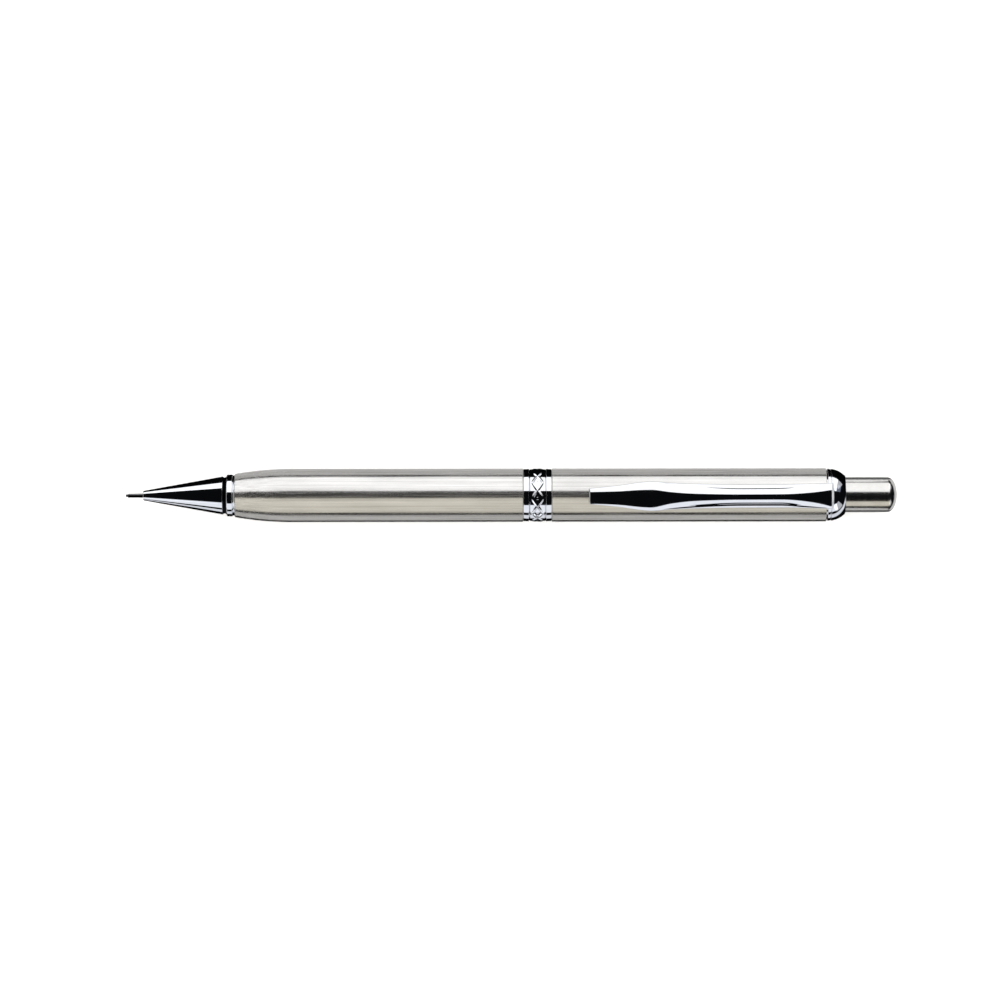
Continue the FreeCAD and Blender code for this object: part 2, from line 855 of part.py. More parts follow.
for thing in doc.Objects:
    if "Invalid" in thing.State or "Error" in thing.State:
        raise RuntimeError(thing.Name + " did not build")
for node in NODES:
    if node.Shape.isNull() or not node.Shape.isValid() or not node.Shape.Solids:
        raise RuntimeError(node.Name + " is not a sound solid")

os.makedirs("parts", exist_ok=True)
for node in NODES:
    node.Shape.exportStep(f"parts/{node.Label}.step")
    bounds = node.Shape.BoundBox
    print(
        f"{node.Label:16s} {node.Shape.Volume:9.2f} mm3"
        f"  x {bounds.XMin:8.3f} {bounds.XMax:8.3f}"
        f"  y {bounds.YMin:7.3f} {bounds.YMax:7.3f}"
        f"  z {bounds.ZMin:7.3f} {bounds.ZMax:7.3f}"
    )
print(len(NODES), "pieces written")
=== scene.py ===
# %% [markdown]
# # A push-button mechanical pencil in steel and chrome
# The real pencil is a stack of turned and pressed parts on one axis: a polished point, two brushed
# steel barrels, a patterned band between them, a collar, a springy clip and a push button.
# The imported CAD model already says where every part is. This lesson gives the parts their finish,
# and rebuilds the outer ones as finer meshes, so that their edges catch the light as real ones do.

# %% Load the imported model
import math

import bmesh
import bpy
import numpy as np
from mathutils import Matrix, Vector


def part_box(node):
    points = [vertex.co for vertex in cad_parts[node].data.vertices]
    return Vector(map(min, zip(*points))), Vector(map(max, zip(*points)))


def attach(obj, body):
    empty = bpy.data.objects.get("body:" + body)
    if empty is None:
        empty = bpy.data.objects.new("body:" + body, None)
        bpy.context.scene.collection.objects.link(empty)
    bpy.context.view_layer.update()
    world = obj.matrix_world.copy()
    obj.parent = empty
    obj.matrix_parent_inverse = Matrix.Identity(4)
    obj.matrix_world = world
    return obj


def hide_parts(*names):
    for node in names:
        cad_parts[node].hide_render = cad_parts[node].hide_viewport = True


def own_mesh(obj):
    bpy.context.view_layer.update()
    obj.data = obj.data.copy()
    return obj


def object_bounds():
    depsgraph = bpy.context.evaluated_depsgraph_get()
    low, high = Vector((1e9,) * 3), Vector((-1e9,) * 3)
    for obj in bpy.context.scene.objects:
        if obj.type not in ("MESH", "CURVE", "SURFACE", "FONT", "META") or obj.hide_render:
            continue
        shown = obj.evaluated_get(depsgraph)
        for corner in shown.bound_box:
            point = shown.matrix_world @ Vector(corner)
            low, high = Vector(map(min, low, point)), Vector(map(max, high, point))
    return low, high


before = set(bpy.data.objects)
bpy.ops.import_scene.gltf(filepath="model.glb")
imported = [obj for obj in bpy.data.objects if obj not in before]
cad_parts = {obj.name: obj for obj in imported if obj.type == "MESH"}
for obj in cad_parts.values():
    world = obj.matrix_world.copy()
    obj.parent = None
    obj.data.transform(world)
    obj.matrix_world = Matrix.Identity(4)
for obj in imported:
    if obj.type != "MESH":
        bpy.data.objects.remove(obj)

cad_low, cad_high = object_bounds()
print("CAD box, mm:", [round(1000 * side, 2) for side in cad_high - cad_low])

# %% [markdown]
# ## Stations and radii
# A turner measures a part by its distance along the axis and by its radius, so this file does too.
# A station is in millimetres back from the point of the lead, which lies at the low end of X.
# The pencil's axis is level, one barrel radius above the floor.

# %% From millimetres on the pencil to metres in the scene
MM = 0.001
barrel_low, barrel_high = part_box("front_barrel")
AXIS_Z = (barrel_low.z + barrel_high.z) / 2


def station_of(x):
    return (x - cad_low.x) / MM


def span(node):
    """The first and last station of a CAD node, and its largest radius."""
    low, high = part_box(node)
    return station_of(low.x), station_of(high.x), (high.y - low.y) / 2 / MM


def on_pencil(station, y, z):
    """A point given in millimetres: its station, and its place across and above the axis."""
    return Vector((cad_low.x + station * MM, y * MM, AXIS_Z + z * MM))


print("axis height, mm:", round(AXIS_Z / MM, 3), " front barrel:", span("front_barrel"))

# %% [markdown]
# ## The camera
# The pencil is seen from almost straight above, from far off and through a long lens, so that its
# two edges stay parallel. The camera leans two degrees or so off the vertical, which is enough to
# move the raised clip a little off the axis.

# %% Place the camera
LENS = 200.0
SENSOR = 36.0
VIEW_WIDTH = 177.7 * MM
LEAN = math.radians(2.4)
ROLL = math.radians(-0.074)
AIM = Vector((-1.95 * MM, -0.86 * MM, AXIS_Z))

camera_data = bpy.data.cameras.new("long_lens")
camera_data.type = "PERSP"
camera_data.lens = LENS
camera_data.sensor_width = SENSOR
camera_data.clip_start = 0.05
camera_data.clip_end = 50.0
camera = bpy.data.objects.new("camera", camera_data)
bpy.context.scene.collection.objects.link(camera)
camera_distance = VIEW_WIDTH * LENS / SENSOR
camera.location = AIM + camera_distance * Vector((0, math.sin(LEAN), math.cos(LEAN)))
camera.rotation_euler = (-LEAN, 0, ROLL)
bpy.context.scene.camera = camera
print("camera distance, m:", round(camera_distance, 3))

# %% [markdown]
# ## Colour and nodes
# Colours are written as the usual six-digit values, which are sRGB. Shaders work in linear light,
# so one function converts them. A second one adds a node to a material, sets it and wires it.

# %% Two helpers for every material
def linear(hex_colour):
    """An sRGB hex value as linear red, green, blue and alpha."""
    shares = [int(hex_colour[i : i + 2], 16) / 255 for i in (0, 2, 4)]
    curve = [s / 12.92 if s <= 0.04045 else ((s + 0.055) / 1.055) ** 2.4 for s in shares]
    return (*curve, 1.0)


def add(tree, kind, settings=None, **sockets):
    """Adds a node. Settings are its own choices; each socket gets a value or another's output."""
    node = tree.nodes.new("ShaderNode" + kind)
    for name, value in (settings or {}).items():
        setattr(node, name, value)
    for name, value in sockets.items():
        key = int(name[1:]) if name[0] == "_" and name[1:].isdigit() else name.replace("_", " ")
        if isinstance(value, bpy.types.NodeSocket):
            tree.links.new(value, node.inputs[key])
        else:
            node.inputs[key].default_value = value
    return node


def new_material(name):
    material = bpy.data.materials.new(name)
    material.use_nodes = True
    material.node_tree.nodes.clear()
    return material, material.node_tree


# %% [markdown]
# ## The floor
# A sheet of matt white board, large enough to run out of sight. Plain diffuse white would do, but
# real board has a faint tooth, so a fine noise moves its tone by two or three parts in a hundred.

# %% Matt white board
COLOURS = {"data_type": "RGBA"}
NUMBERS = {"data_type": "FLOAT"}
BOARD_TOOTH = 2 * MM
SHEET_HALF = 6.0

board, tree = new_material("matt_white_board")
place_on_board = add(tree, "TexCoord")
tooth = add(tree, "TexNoise", Vector=place_on_board.outputs["Object"], Scale=1 / BOARD_TOOTH)
white = add(tree, "Mix", COLOURS, _0=tooth.outputs[0], _6=linear("F3F2F0"), _7=linear("F6F6F5"))
matt = add(tree, "BsdfPrincipled", Base_Color=white.outputs[2], Roughness=0.9)
add(tree, "OutputMaterial", Surface=matt.outputs[0])


def flat_sheet(name, height, material):
    """A large square sheet for the stage, at a height in metres."""
    signs = [(-1, -1), (1, -1), (1, 1), (-1, 1)]
    mesh = bpy.data.meshes.new(name)
    mesh.from_pydata([(x * SHEET_HALF, y * SHEET_HALF, height) for x, y in signs], [], [range(4)])
    mesh.materials.append(material)
    sheet = bpy.data.objects.new(name, mesh)
    bpy.context.scene.collection.objects.link(sheet)
    return sheet


flat_sheet("floor", cad_low.z, board)
print("floor at z =", round(cad_low.z, 6))

# %% [markdown]
# ## Light for polished metal
# A mirror finish has no colour of its own. It shows the room, so the room is lit and not the
# pencil: one long bright box on one side, a dimmer one on the other, and darkness overhead and at
# the horizon. The dark gap overhead becomes the black core that runs along every polished part.
# Angles are measured from straight up, and positive ones lean towards +Y. A lamp's power is worked
# out from its radiance, which is how bright it looks in a mirror.

# %% Boxes of light on both sides
BOX_DISTANCE = 1.3
BOX_LENGTH = 2.1
FADE_LENGTH = 4.4
WHITE = "FFFFFF"
WARM = "FFFAEC"
COOL = "F8FAFF"


def sheet_lamp(name, length, width, radiance, colour):
    """A rectangle of light of a given radiance, which the camera itself doesn't see."""
    data = bpy.data.lights.new(name, "AREA")
    data.shape = "RECTANGLE"
    data.size = length
    data.size_y = width
    data.energy = math.pi * length * width * radiance
    data.color = linear(colour)[:3]
    lamp = bpy.data.objects.new(name, data)
    lamp.visible_camera = False
    bpy.context.scene.collection.objects.link(lamp)
    return lamp


def softbox(name, from_angle, to_angle, radiance, colour, length=BOX_LENGTH):
    """A long box of light that fills the sky between two angles, seen from the pencil."""
    middle = math.radians((from_angle + to_angle) / 2)
    half = math.radians(abs(to_angle - from_angle) / 2)
    lamp = sheet_lamp(name, length, 2 * BOX_DISTANCE * math.tan(half), radiance, colour)
    towards = Vector((0, math.sin(middle), math.cos(middle)))
    lamp.location = Vector((0, 0, AXIS_Z)) + BOX_DISTANCE * towards
    lamp.rotation_euler = (-middle, 0, 0)
    return lamp


CORE_FROM = -10
CORE_TO = 21
BRIGHT_SPLIT = 50
DIM_TOP = -43
BRIGHT = 1.52
bright_high = softbox("bright_box_high", CORE_TO, BRIGHT_SPLIT, BRIGHT, WHITE)
bright_low = softbox("bright_box_low", BRIGHT_SPLIT, 90, BRIGHT, WHITE)
dim_box = softbox("dim_box", -79, DIM_TOP, 0.88, WARM)
cool_box = softbox("cool_box", -82, DIM_TOP, 1.15, COOL)
warm_panel = softbox("warm_panel", DIM_TOP, CORE_FROM, 0.94, WARM)
core_glow = softbox("core_glow", CORE_FROM, CORE_TO, 0.06, "FFFAF4")
collar_fade = softbox("collar_fade", 20, 62, 0.25, "DCE8FF", FADE_LENGTH)
side_boxes = [bright_high, bright_low, dim_box, cool_box, warm_panel, core_glow, collar_fade]
print("boxes of light:", [lamp.name for lamp in side_boxes])

# %% [markdown]
# Smaller boxes stand low beyond the two ends and the four corners. They put light into the metal
# when the pencil is looked at from another side. A last one, higher up beyond the button, only
# lights the clip.

# %% Boxes beyond the ends and the corners
END_LEAN = math.radians(48)
PANEL_LEAN = math.radians(72)
PANEL_HEIGHT = 0.8
PANEL_WIDTH = 2.4
CORNER_WIDTH = 0.7
END_SIDE = 0.7
PANEL_RADIANCE = 0.6
PANEL_COLOUR = "F8F7F4"


def far_box(name, lean, turn, height, width, radiance, colour):
    """A box at an angle from straight up, turned in degrees round the vertical from +X."""
    round_z = math.radians(turn)
    level = math.sin(lean)
    lamp = sheet_lamp(name, height, width, radiance, colour)
    towards = Vector((level * math.cos(round_z), level * math.sin(round_z), math.cos(lean)))
    lamp.location = BOX_DISTANCE * towards
    lamp.rotation_euler = (0, lean, round_z)
    return lamp


end_box = far_box("end_box", END_LEAN, 0, END_SIDE, END_SIDE, 1.1, WHITE)
end_panels = [
    far_box(name, PANEL_LEAN, turn, PANEL_HEIGHT, PANEL_WIDTH, PANEL_RADIANCE, PANEL_COLOUR)
    for name, turn in (("front_end_panel", 180), ("back_end_panel", 0))
]
CORNER_COLOUR = "F6F8FC"
corner_boxes = []
for turn in (45, 135, 225, 315):
    name = f"corner_box_{turn}"
    box = far_box(name, PANEL_LEAN, turn, PANEL_HEIGHT, CORNER_WIDTH, PANEL_RADIANCE, CORNER_COLOUR)
    corner_boxes.append(box)
print("boxes beyond the ends:", 1 + len(end_panels), " at the corners:", len(corner_boxes))

# %% [markdown]
# The board itself is lit from straight above by a broad light that the metal doesn't mirror, so
# the board is white and the pencil's own shadow stays soft and close to it.

# %% Light for the board, and the room
overhead_data = bpy.data.lights.new("overhead", "SUN")
overhead_data.energy = 5.0
overhead_data.angle = math.radians(70)
overhead = bpy.data.objects.new("overhead", overhead_data)
overhead.visible_glossy = False
bpy.context.scene.collection.objects.link(overhead)

world = bpy.data.worlds.new("room")
world.use_nodes = True
tree = world.node_tree
tree.nodes.clear()
seen_by = add(tree, "LightPath")
dark_room = add(tree, "Background", Color=linear("0B0C0E"), Strength=1.0)
pale_wall = add(tree, "Background", Color=linear(WHITE), Strength=1.0)
room = add(
    tree,
    "MixShader",
    _0=seen_by.outputs["Is Camera Ray"],
    _1=dark_room.outputs[0],
    _2=pale_wall.outputs[0],
)
add(tree, "OutputWorld", Surface=room.outputs[0])
bpy.context.scene.world = world
bpy.context.scene.view_settings.view_transform = "Standard"
print("room and overhead light set")

# %% [markdown]
# A mirror finish also shows the board. Black card laid beside chrome turns its edges dark, so that
# they stand out from a white board. The card here is only seen in reflections. The softer grey at
# the edges of the barrels and the button comes from strips of light that lie on the card. Each
# strip lights only its own parts.

# %% The black card, and strips of light on it
CARD_HEIGHT = 0.02 * MM
STRIP_HEIGHT = 0.04 * MM
STRIP_LENGTH = 0.4

paper, tree = new_material("black_card_paper")
glow = add(tree, "Emission", Color=linear("050506"), Strength=1.0)
add(tree, "OutputMaterial", Surface=glow.outputs[0])
paper.cycles.emission_sampling = "NONE"
black_card = flat_sheet("black_card", CARD_HEIGHT, paper)
black_card.visible_camera = False
black_card.visible_diffuse = False
black_card.visible_transmission = False
black_card.visible_volume_scatter = False
black_card.visible_shadow = False


def floor_strip(name, from_y, to_y, radiance, colour, middle=0.0, length=STRIP_LENGTH):
    """A strip of light that lies flat and shines up, between two distances in mm."""
    lamp = sheet_lamp(name, length, abs(to_y - from_y) * MM, radiance, colour)
    lamp.location = (middle, (from_y + to_y) / 2 * MM, STRIP_HEIGHT)
    lamp.rotation_euler = (math.pi, 0, 0)
    return lamp


BARREL_EDGE = 0.63
barrel_strips = [
    floor_strip("barrel_strip_left", 0, 42, BARREL_EDGE, "FFFEFC"),
    floor_strip("barrel_strip_right", -10.2, -110, BARREL_EDGE, "FFFEFC"),
]
BUTTON_MIDDLE = -0.13
BUTTON_GAP = 13
BUTTON_REACH = 60
PAST_END = 0.0745
PAST_END_LENGTH = 0.011
button_strips = [
    floor_strip("button_strip_left", BUTTON_GAP, BUTTON_REACH, 1.2, WHITE, BUTTON_MIDDLE),
    floor_strip("button_strip_right", -BUTTON_GAP, -BUTTON_REACH, 0.7, WHITE, BUTTON_MIDDLE),
    floor_strip("button_strip_under", BUTTON_GAP, -BUTTON_GAP, 0.15, WHITE, BUTTON_MIDDLE),
    floor_strip("button_strip_end", BUTTON_GAP, -BUTTON_GAP, 0.8, WHITE, PAST_END, PAST_END_LENGTH),
]
chrome_strip = floor_strip("chrome_strip", -14, -60, 0.95, COOL)
print("card laid, and", len(barrel_strips) + len(button_strips) + 1, "strips")

# %% [markdown]
# ## Stainless steel tube, brushed lengthwise
# The barrels are drawn tube, rubbed lengthwise on a belt and then lightly buffed. That gives the
# eye long hairlines: each one is a groove with a slightly different gloss. Real ones are a few
# hundredths of a millimetre wide. Here they are drawn 0.12 mm wide so that they still show. Most
# values of a noise lie between 0.3 and 0.7, so that range is what gets mapped to gloss and tint.

# %% Brushed stainless steel
HAIRLINE = 0.12 * MM
HAIRLINE_RUN = 14 * MM
STREAK = 0.3 * MM
STREAK_RUN = 45 * MM
NOISE_RANGE = {"From_Min": 0.3, "From_Max": 0.7}


def grain(tree, across, along, detail=2.0, offset=0.0):
    """Noise drawn out along X: lines of one width and one typical run, in metres."""
    where = add(tree, "TexCoord")
    stretched = add(
        tree,
        "Mapping",
        Vector=where.outputs["Object"],
        Location=(offset, offset, offset),
        Scale=(1 / along, 1 / across, 1 / across),
    )
    return add(tree, "TexNoise", Vector=stretched.outputs[0], Scale=1.0, Detail=detail)


def worn(tree, roughness, at_edges):
    """Roughness that rises to another value where the mesh says that an edge is rubbed."""
    edge = add(tree, "Attribute", {"attribute_name": "edge_wear_and_groove_shade"})
    mix = add(tree, "Mix", NUMBERS, _0=edge.outputs["Fac"], _2=roughness, _3=at_edges)
    return mix.outputs[0]


brushed_steel, tree = new_material("stainless_steel_brushed_lengthwise")
hairlines = grain(tree, HAIRLINE, HAIRLINE_RUN)
handling = grain(tree, 3 * MM, 9 * MM, detail=3.0, offset=4.0)
streaks = grain(tree, STREAK, STREAK_RUN, detail=3.0, offset=9.0)
gloss = add(tree, "MapRange", Value=hairlines.outputs[0], **NOISE_RANGE, To_Min=0.1, To_Max=0.3)
handled = add(tree, "MapRange", Value=handling.outputs[0], **NOISE_RANGE)
streaked = add(tree, "MapRange", Value=streaks.outputs[0], **NOISE_RANGE)
tone = add(tree, "Mix", NUMBERS, _0=0.65, _2=handled.outputs[0], _3=streaked.outputs[0])
tint = add(tree, "Mix", COLOURS, _0=tone.outputs[0], _6=linear("BBBAB8"), _7=linear("DAD9D8"))
scratches = add(tree, "Bump", Strength=0.6, Distance=0.0009 * MM, Height=hairlines.outputs[0])
steel = add(
    tree,
    "BsdfPrincipled",
    Base_Color=tint.outputs[2],
    Metallic=1.0,
    Roughness=worn(tree, gloss.outputs[0], 0.16),
    Normal=scratches.outputs[0],
)
add(tree, "OutputMaterial", Surface=steel.outputs[0])
print("made", brushed_steel.name)

# %% [markdown]
# ## Steel, satin turned
# The button is spun against a fine abrasive, so its marks run round it. The real ones are finer
# than the eye can tell apart, and here they are drawn 0.1 mm apart so that they show. It looks a
# little darker and softer than the chrome beside it.

# %% Satin steel for the button
satin_steel, tree = new_material("stainless_steel_satin_turned")
rings = grain(tree, 40 * MM, 0.1 * MM)
rub = grain(tree, 1.5 * MM, 2 * MM, detail=4.0, offset=2.0)
gloss = add(tree, "MapRange", Value=rings.outputs[0], **NOISE_RANGE, To_Min=0.13, To_Max=0.24)
rubbed_share = add(tree, "MapRange", Value=rub.outputs[0], **NOISE_RANGE)
tint = add(tree, "Mix", COLOURS, _0=rubbed_share.outputs[0], _6=linear("C9C8C6"), _7=linear("D2D1CF"))
marks = add(tree, "Bump", Strength=0.3, Distance=0.00035 * MM, Height=rings.outputs[0])
steel = add(
    tree,
    "BsdfPrincipled",
    Base_Color=tint.outputs[2],
    Metallic=1.0,
    Roughness=worn(tree, gloss.outputs[0], 0.25),
    Normal=marks.outputs[0],
)
add(tree, "OutputMaterial", Surface=steel.outputs[0])
print("made", satin_steel.name)

# %% [markdown]
# ## Chromium plate on polished brass
# The point, rings, collar and clip are plated and mirror polished. Their colour is a cool grey
# that only shows as a tint in what they reflect. Handling leaves a faint haze, fine scratches
# (drawn 0.09 mm wide, which is coarser than real ones), and edges that are rubbed a little duller
# than the faces. The groove behind the point has painted shade: its colour is set near black so
# that it reads as a dark recess, and the mesh marks it with a value of 2.

# %% Mirror chrome
mirror_chrome, tree = new_material("chromium_plate_mirror_polished")
haze = grain(tree, 1.8 * MM, 2.6 * MM, detail=3.0)
scuffs = grain(tree, 0.09 * MM, 5 * MM, detail=1.0, offset=7.0)
gloss = add(tree, "MapRange", Value=haze.outputs[0], **NOISE_RANGE, To_Min=0.025, To_Max=0.075)
hazed = add(tree, "MapRange", Value=haze.outputs[0], **NOISE_RANGE)
tint = add(tree, "Mix", COLOURS, _0=hazed.outputs[0], _6=linear("D9DBDF"), _7=linear("E0E1E4"))
# Painted shade: where the mesh's mark reaches 2, in the groove behind the point, the colour goes near
# black (0A0A0B).
mark = add(tree, "Attribute", {"attribute_name": "edge_wear_and_groove_shade"})
groove_shade_share = add(tree, "MapRange", Value=mark.outputs["Fac"], From_Min=1.0, From_Max=2.0)
tint_and_painted_groove_shade = add(tree, "Mix", COLOURS, _0=groove_shade_share.outputs[0], _6=tint.outputs[2], _7=linear("0A0A0B"))
marks = add(tree, "Bump", Strength=0.3, Distance=0.0002 * MM, Height=scuffs.outputs[0])
chrome = add(
    tree,
    "BsdfPrincipled",
    Base_Color=tint_and_painted_groove_shade.outputs[2],
    Metallic=1.0,
    Roughness=worn(tree, gloss.outputs[0], 0.4),
    Normal=marks.outputs[0],
)
add(tree, "OutputMaterial", Surface=chrome.outputs[0])
print("made", mirror_chrome.name)

# %% [markdown]
# ## The other materials
# Most of what is inside only shows when the point or the button is taken off, but each part still
# gets the finish of the real one. They share one recipe: a pattern at its real size moves the
# colour, the roughness and a shallow bump.

# %% One recipe for the inner materials
def patterned(name, colours, roughness, size, depth, **shader):
    """A finish from two colours, two roughnesses, and a pattern's size across and along X and its
    depth, in millimetres."""
    material, tree = new_material(name)
    across, along = size
    smooth, rough = roughness
    dark, pale = colours
    pattern = grain(tree, across * MM, along * MM, detail=3.0)
    share = add(tree, "MapRange", Value=pattern.outputs[0], **NOISE_RANGE)
    tint = add(tree, "Mix", COLOURS, _0=share.outputs[0], _6=linear(dark), _7=linear(pale))
    gloss = add(tree, "MapRange", Value=pattern.outputs[0], **NOISE_RANGE, To_Min=smooth, To_Max=rough)
    relief = add(tree, "Bump", Strength=0.7, Distance=depth * MM, Height=pattern.outputs[0])
    surface = add(
        tree,
        "BsdfPrincipled",
        Base_Color=tint.outputs[2],
        Roughness=gloss.outputs[0],
        Normal=relief.outputs[0],
        **shader,
    )
    add(tree, "OutputMaterial", Surface=surface.outputs[0])
    print("made", name)
    return material


# %% Metals inside: drawn steel, spring wire and brass
# Pulled through a die: smooth, rather dark, with faint lines along it.
drawn_steel = patterned(
    "stainless_tube_drawn", ("7C7C7E", "8B8B8D"), (0.05, 0.11), (0.04, 3.0), 0.0002, Metallic=1.0
)
# Drawn, then coiled and heated: duller, with short scratches.
spring_wire = patterned(
    "spring_steel_wire_drawn", ("7E7E80", "949496"), (0.22, 0.4), (0.05, 0.6), 0.001, Metallic=1.0
)
# Cut on a lathe: a warm yellow, with fine rings round it that glint.
turned_brass = patterned(
    "brass_lathe_turned", ("BE9A55", "CFAE6B"), (0.16, 0.32), (30.0, 0.08), 0.0015, Metallic=1.0
)

# %% Plastics and rubbers inside
# Moulded against an etched steel face: an even, fine grain that takes the gloss off.
black_abs = patterned(
    "abs_moulded_black", ("18191B", "212224"), (0.35, 0.55), (0.12, 0.12), 0.003, IOR=1.54
)
# Pushed out as a tube: milky, lets some light through, with long soft streaks.
milky_pp = patterned(
    "polypropylene_extruded_milky",
    ("DFE1DC", "ECEDEA"),
    (0.25, 0.42),
    (0.5, 12.0),
    0.004,
    IOR=1.49,
    Transmission_Weight=0.45,
)
# Moulded rubber: nearly black and dull, as if a little dusty.
nitrile = patterned(
    "nitrile_rubber_moulded", ("161616", "232323"), (0.6, 0.85), (0.06, 0.06), 0.004, IOR=1.52
)
# Pushed out as a rod and cut: off-white and chalky.
vinyl = patterned(
    "vinyl_eraser_extruded", ("E4E1D9", "F2F0EB"), (0.55, 0.8), (0.25, 1.2), 0.006, IOR=1.53
)
# Graphite bound with a polymer and fired: dark grey with a silky shine.
graphite = patterned(
    "polymer_graphite_fired", ("1A1B1D", "2A2B2E"), (0.28, 0.5), (0.03, 0.7), 0.001, IOR=1.55
)

# %% [markdown]
# ## Turning a part
# Nearly everything here was made on a lathe, so one function does the same: it takes half of the
# part's section and turns it round the axis. Blender's Screw modifier could do this, but doing it
# by hand lets each corner have its own small radius. No real edge is sharp, and a radius of a
# tenth of a millimetre is what draws the thin bright line along it. The corner points are marked
# as rubbed, and the materials read that mark. In the outlines below, each row is a corner: its
# station, its radius and, where it is rounded, the radius of the rounding, all in millimetres.

# %% Corners with a radius
CORNER_STEPS = 5
MOST_OF_A_SIDE = 0.45
HOLD = 0.4


def rounded(corners):
    """Outline points (station, radius, wear) from corners (station, radius[, fillet])."""
    points = []
    count = len(corners)
    for i, corner in enumerate(corners):
        here = Vector(corner[:2])
        fillet = corner[2] if len(corner) > 2 else 0.0
        if fillet == 0.0:
            points.append((here.x, here.y, 0.0))
            continue
        back = Vector(corners[i - 1][:2]) - here
        ahead = Vector(corners[(i + 1) % count][:2]) - here
        half = back.angle(ahead) / 2
        longest = MOST_OF_A_SIDE * min(back.length, ahead.length)
        reach = min(fillet / math.tan(half), longest)
        radius = reach * math.tan(half)
        inward = (back.normalized() + ahead.normalized()).normalized()
        centre = here + inward * radius / math.sin(half)
        start = here + back.normalized() * reach - centre
        end = here + ahead.normalized() * reach - centre
        turn = math.atan2(start.x * end.y - start.y * end.x, start.dot(end))
        hold = HOLD * reach
        before = centre + start + back.normalized() * hold
        after = centre + end + ahead.normalized() * hold
        points.append((before.x, before.y, 0.0))
        for step in range(CORNER_STEPS + 1):
            angle = turn * step / CORNER_STEPS
            spoke = Matrix.Rotation(angle, 2) @ start
            wear = math.sin(math.pi * step / CORNER_STEPS)
            points.append((centre.x + spoke.x, centre.y + spoke.y, wear))
        points.append((after.x, after.y, 0.0))
    return points


# %% The lathe
SMOOTH_BELOW = math.radians(32)
TINY = 1e-6


def finish_mesh(name, mesh, body, material, slot_name, *replaced):
    """Shades a mesh, gives it its material, and puts it on its body in place of CAD nodes."""
    mesh.materials.append(material)
    mesh.shade_smooth()
    mesh.set_sharp_from_angle(angle=SMOOTH_BELOW)
    piece = bpy.data.objects.new(name, mesh)
    bpy.context.scene.collection.objects.link(piece)
    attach(piece, body)
    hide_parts(*replaced)
    print(f"{name}: {len(mesh.vertices)} points, {len(mesh.polygons)} faces")
    return piece


def mesh_from(name, points, faces, wear=None):
    """A mesh with outward faces, and its mark of rubbed edges and of the groove painted dark as shade.
    """
    mesh = bpy.data.meshes.new(name)
    mesh.from_pydata(points, [], faces)
    work = bmesh.new()
    work.from_mesh(mesh)
    bmesh.ops.recalc_face_normals(work, faces=work.faces)
    work.to_mesh(mesh)
    work.free()
    if wear is not None:
        # Values up to 1 mark rubbed edges; the value 2 marks the groove whose colour is painted near
        # black as shade.
        mark = mesh.attributes.new("edge_wear_and_groove_shade", "FLOAT", "POINT")
        mark.data.foreach_set("value", wear)
    return mesh


def turned_mesh(name, outline, segments=144, shape=None):
    """Turns an outline round the axis. Shape may change a radius by station and angle."""
    points, wear, rings = [], [], []
    for station, radius, rubbed in outline:
        if radius < TINY:
            rings.append([len(points)])
            points.append(on_pencil(station, 0, 0))
            wear.append(rubbed)
            continue
        ring = []
        for k in range(segments):
            angle = 2 * math.pi * k / segments
            r = shape(station, radius, angle) if shape else radius
            ring.append(len(points))
            points.append(on_pencil(station, r * math.sin(angle), r * math.cos(angle)))
            wear.append(rubbed)
        rings.append(ring)
    faces = []
    for i, ring in enumerate(rings):
        other = rings[(i + 1) % len(rings)]
        for k in range(segments):
            n = (k + 1) % segments
            near = [ring[k % len(ring)], ring[n % len(ring)]]
            far = [other[n % len(other)], other[k % len(other)]]
            face = list(dict.fromkeys(near + far))
            if len(face) > 2:
                faces.append(face)
    return mesh_from(name, points, faces, wear)


def arc_between(start, end, centre_station, steps):
    """Points on an arc between two (station, radius) points, with its centre at a station."""
    (x0, r0), (x1, r1) = start, end
    c = centre_station
    centre_r = ((x1 - c) ** 2 + r1**2 - (x0 - c) ** 2 - r0**2) / (2 * (r1 - r0))
    radius = math.hypot(x0 - c, r0 - centre_r)
    a0 = math.atan2(r0 - centre_r, x0 - c)
    a1 = math.atan2(r1 - centre_r, x1 - c)
    angles = [a0 + (a1 - a0) * i / steps for i in range(steps + 1)]
    return [(c + radius * math.cos(a), centre_r + radius * math.sin(a)) for a in angles]


# %% [markdown]
# ## The two barrels
# Both are tubes with a wall of 0.4 mm. The rear one is straight. The front one is drawn in at its
# mouth along a long arc that meets the straight part without a corner.

# %% Front barrel
WALL = 0.4
MOUTH_RADIUS = 3.85
SHOULDER = 29.6
NOSE_STEPS = 22
EDGE = 0.12
INNER_EDGE = 0.1
first, last, outer = span("front_barrel")
nose = arc_between((first, MOUTH_RADIUS), (SHOULDER, outer), SHOULDER, NOSE_STEPS)
inner_nose = [(station, radius - WALL) for station, radius in nose]
outline = rounded([(*inner_nose[0], INNER_EDGE), (*nose[0], EDGE), nose[2]])[:-1]
outline += [(station, radius, 0.0) for station, radius in nose[2:]]
back_edge = [nose[-1], (last, outer, EDGE), (last, outer - WALL, INNER_EDGE), inner_nose[-1]]
outline += rounded(back_edge)[1:-1]
outline += [(station, radius, 0.0) for station, radius in reversed(inner_nose[1:])]
mesh = turned_mesh("front_barrel_shell", outline)
front_shell = finish_mesh(
    "front_barrel_shell", mesh, "barrel", brushed_steel, "brushed_stainless", "front_barrel"
)

# %% Rear barrel
first, last, outer = span("rear_barrel")
outline = rounded(
    [
        (first, outer - WALL, INNER_EDGE),
        (first, outer, EDGE),
        (last, outer, EDGE),
        (last, outer - WALL, INNER_EDGE),
    ]
)
mesh = turned_mesh("rear_barrel_shell", outline)
rear_shell = finish_mesh(
    "rear_barrel_shell", mesh, "barrel", brushed_steel, "brushed_stainless", "rear_barrel"
)

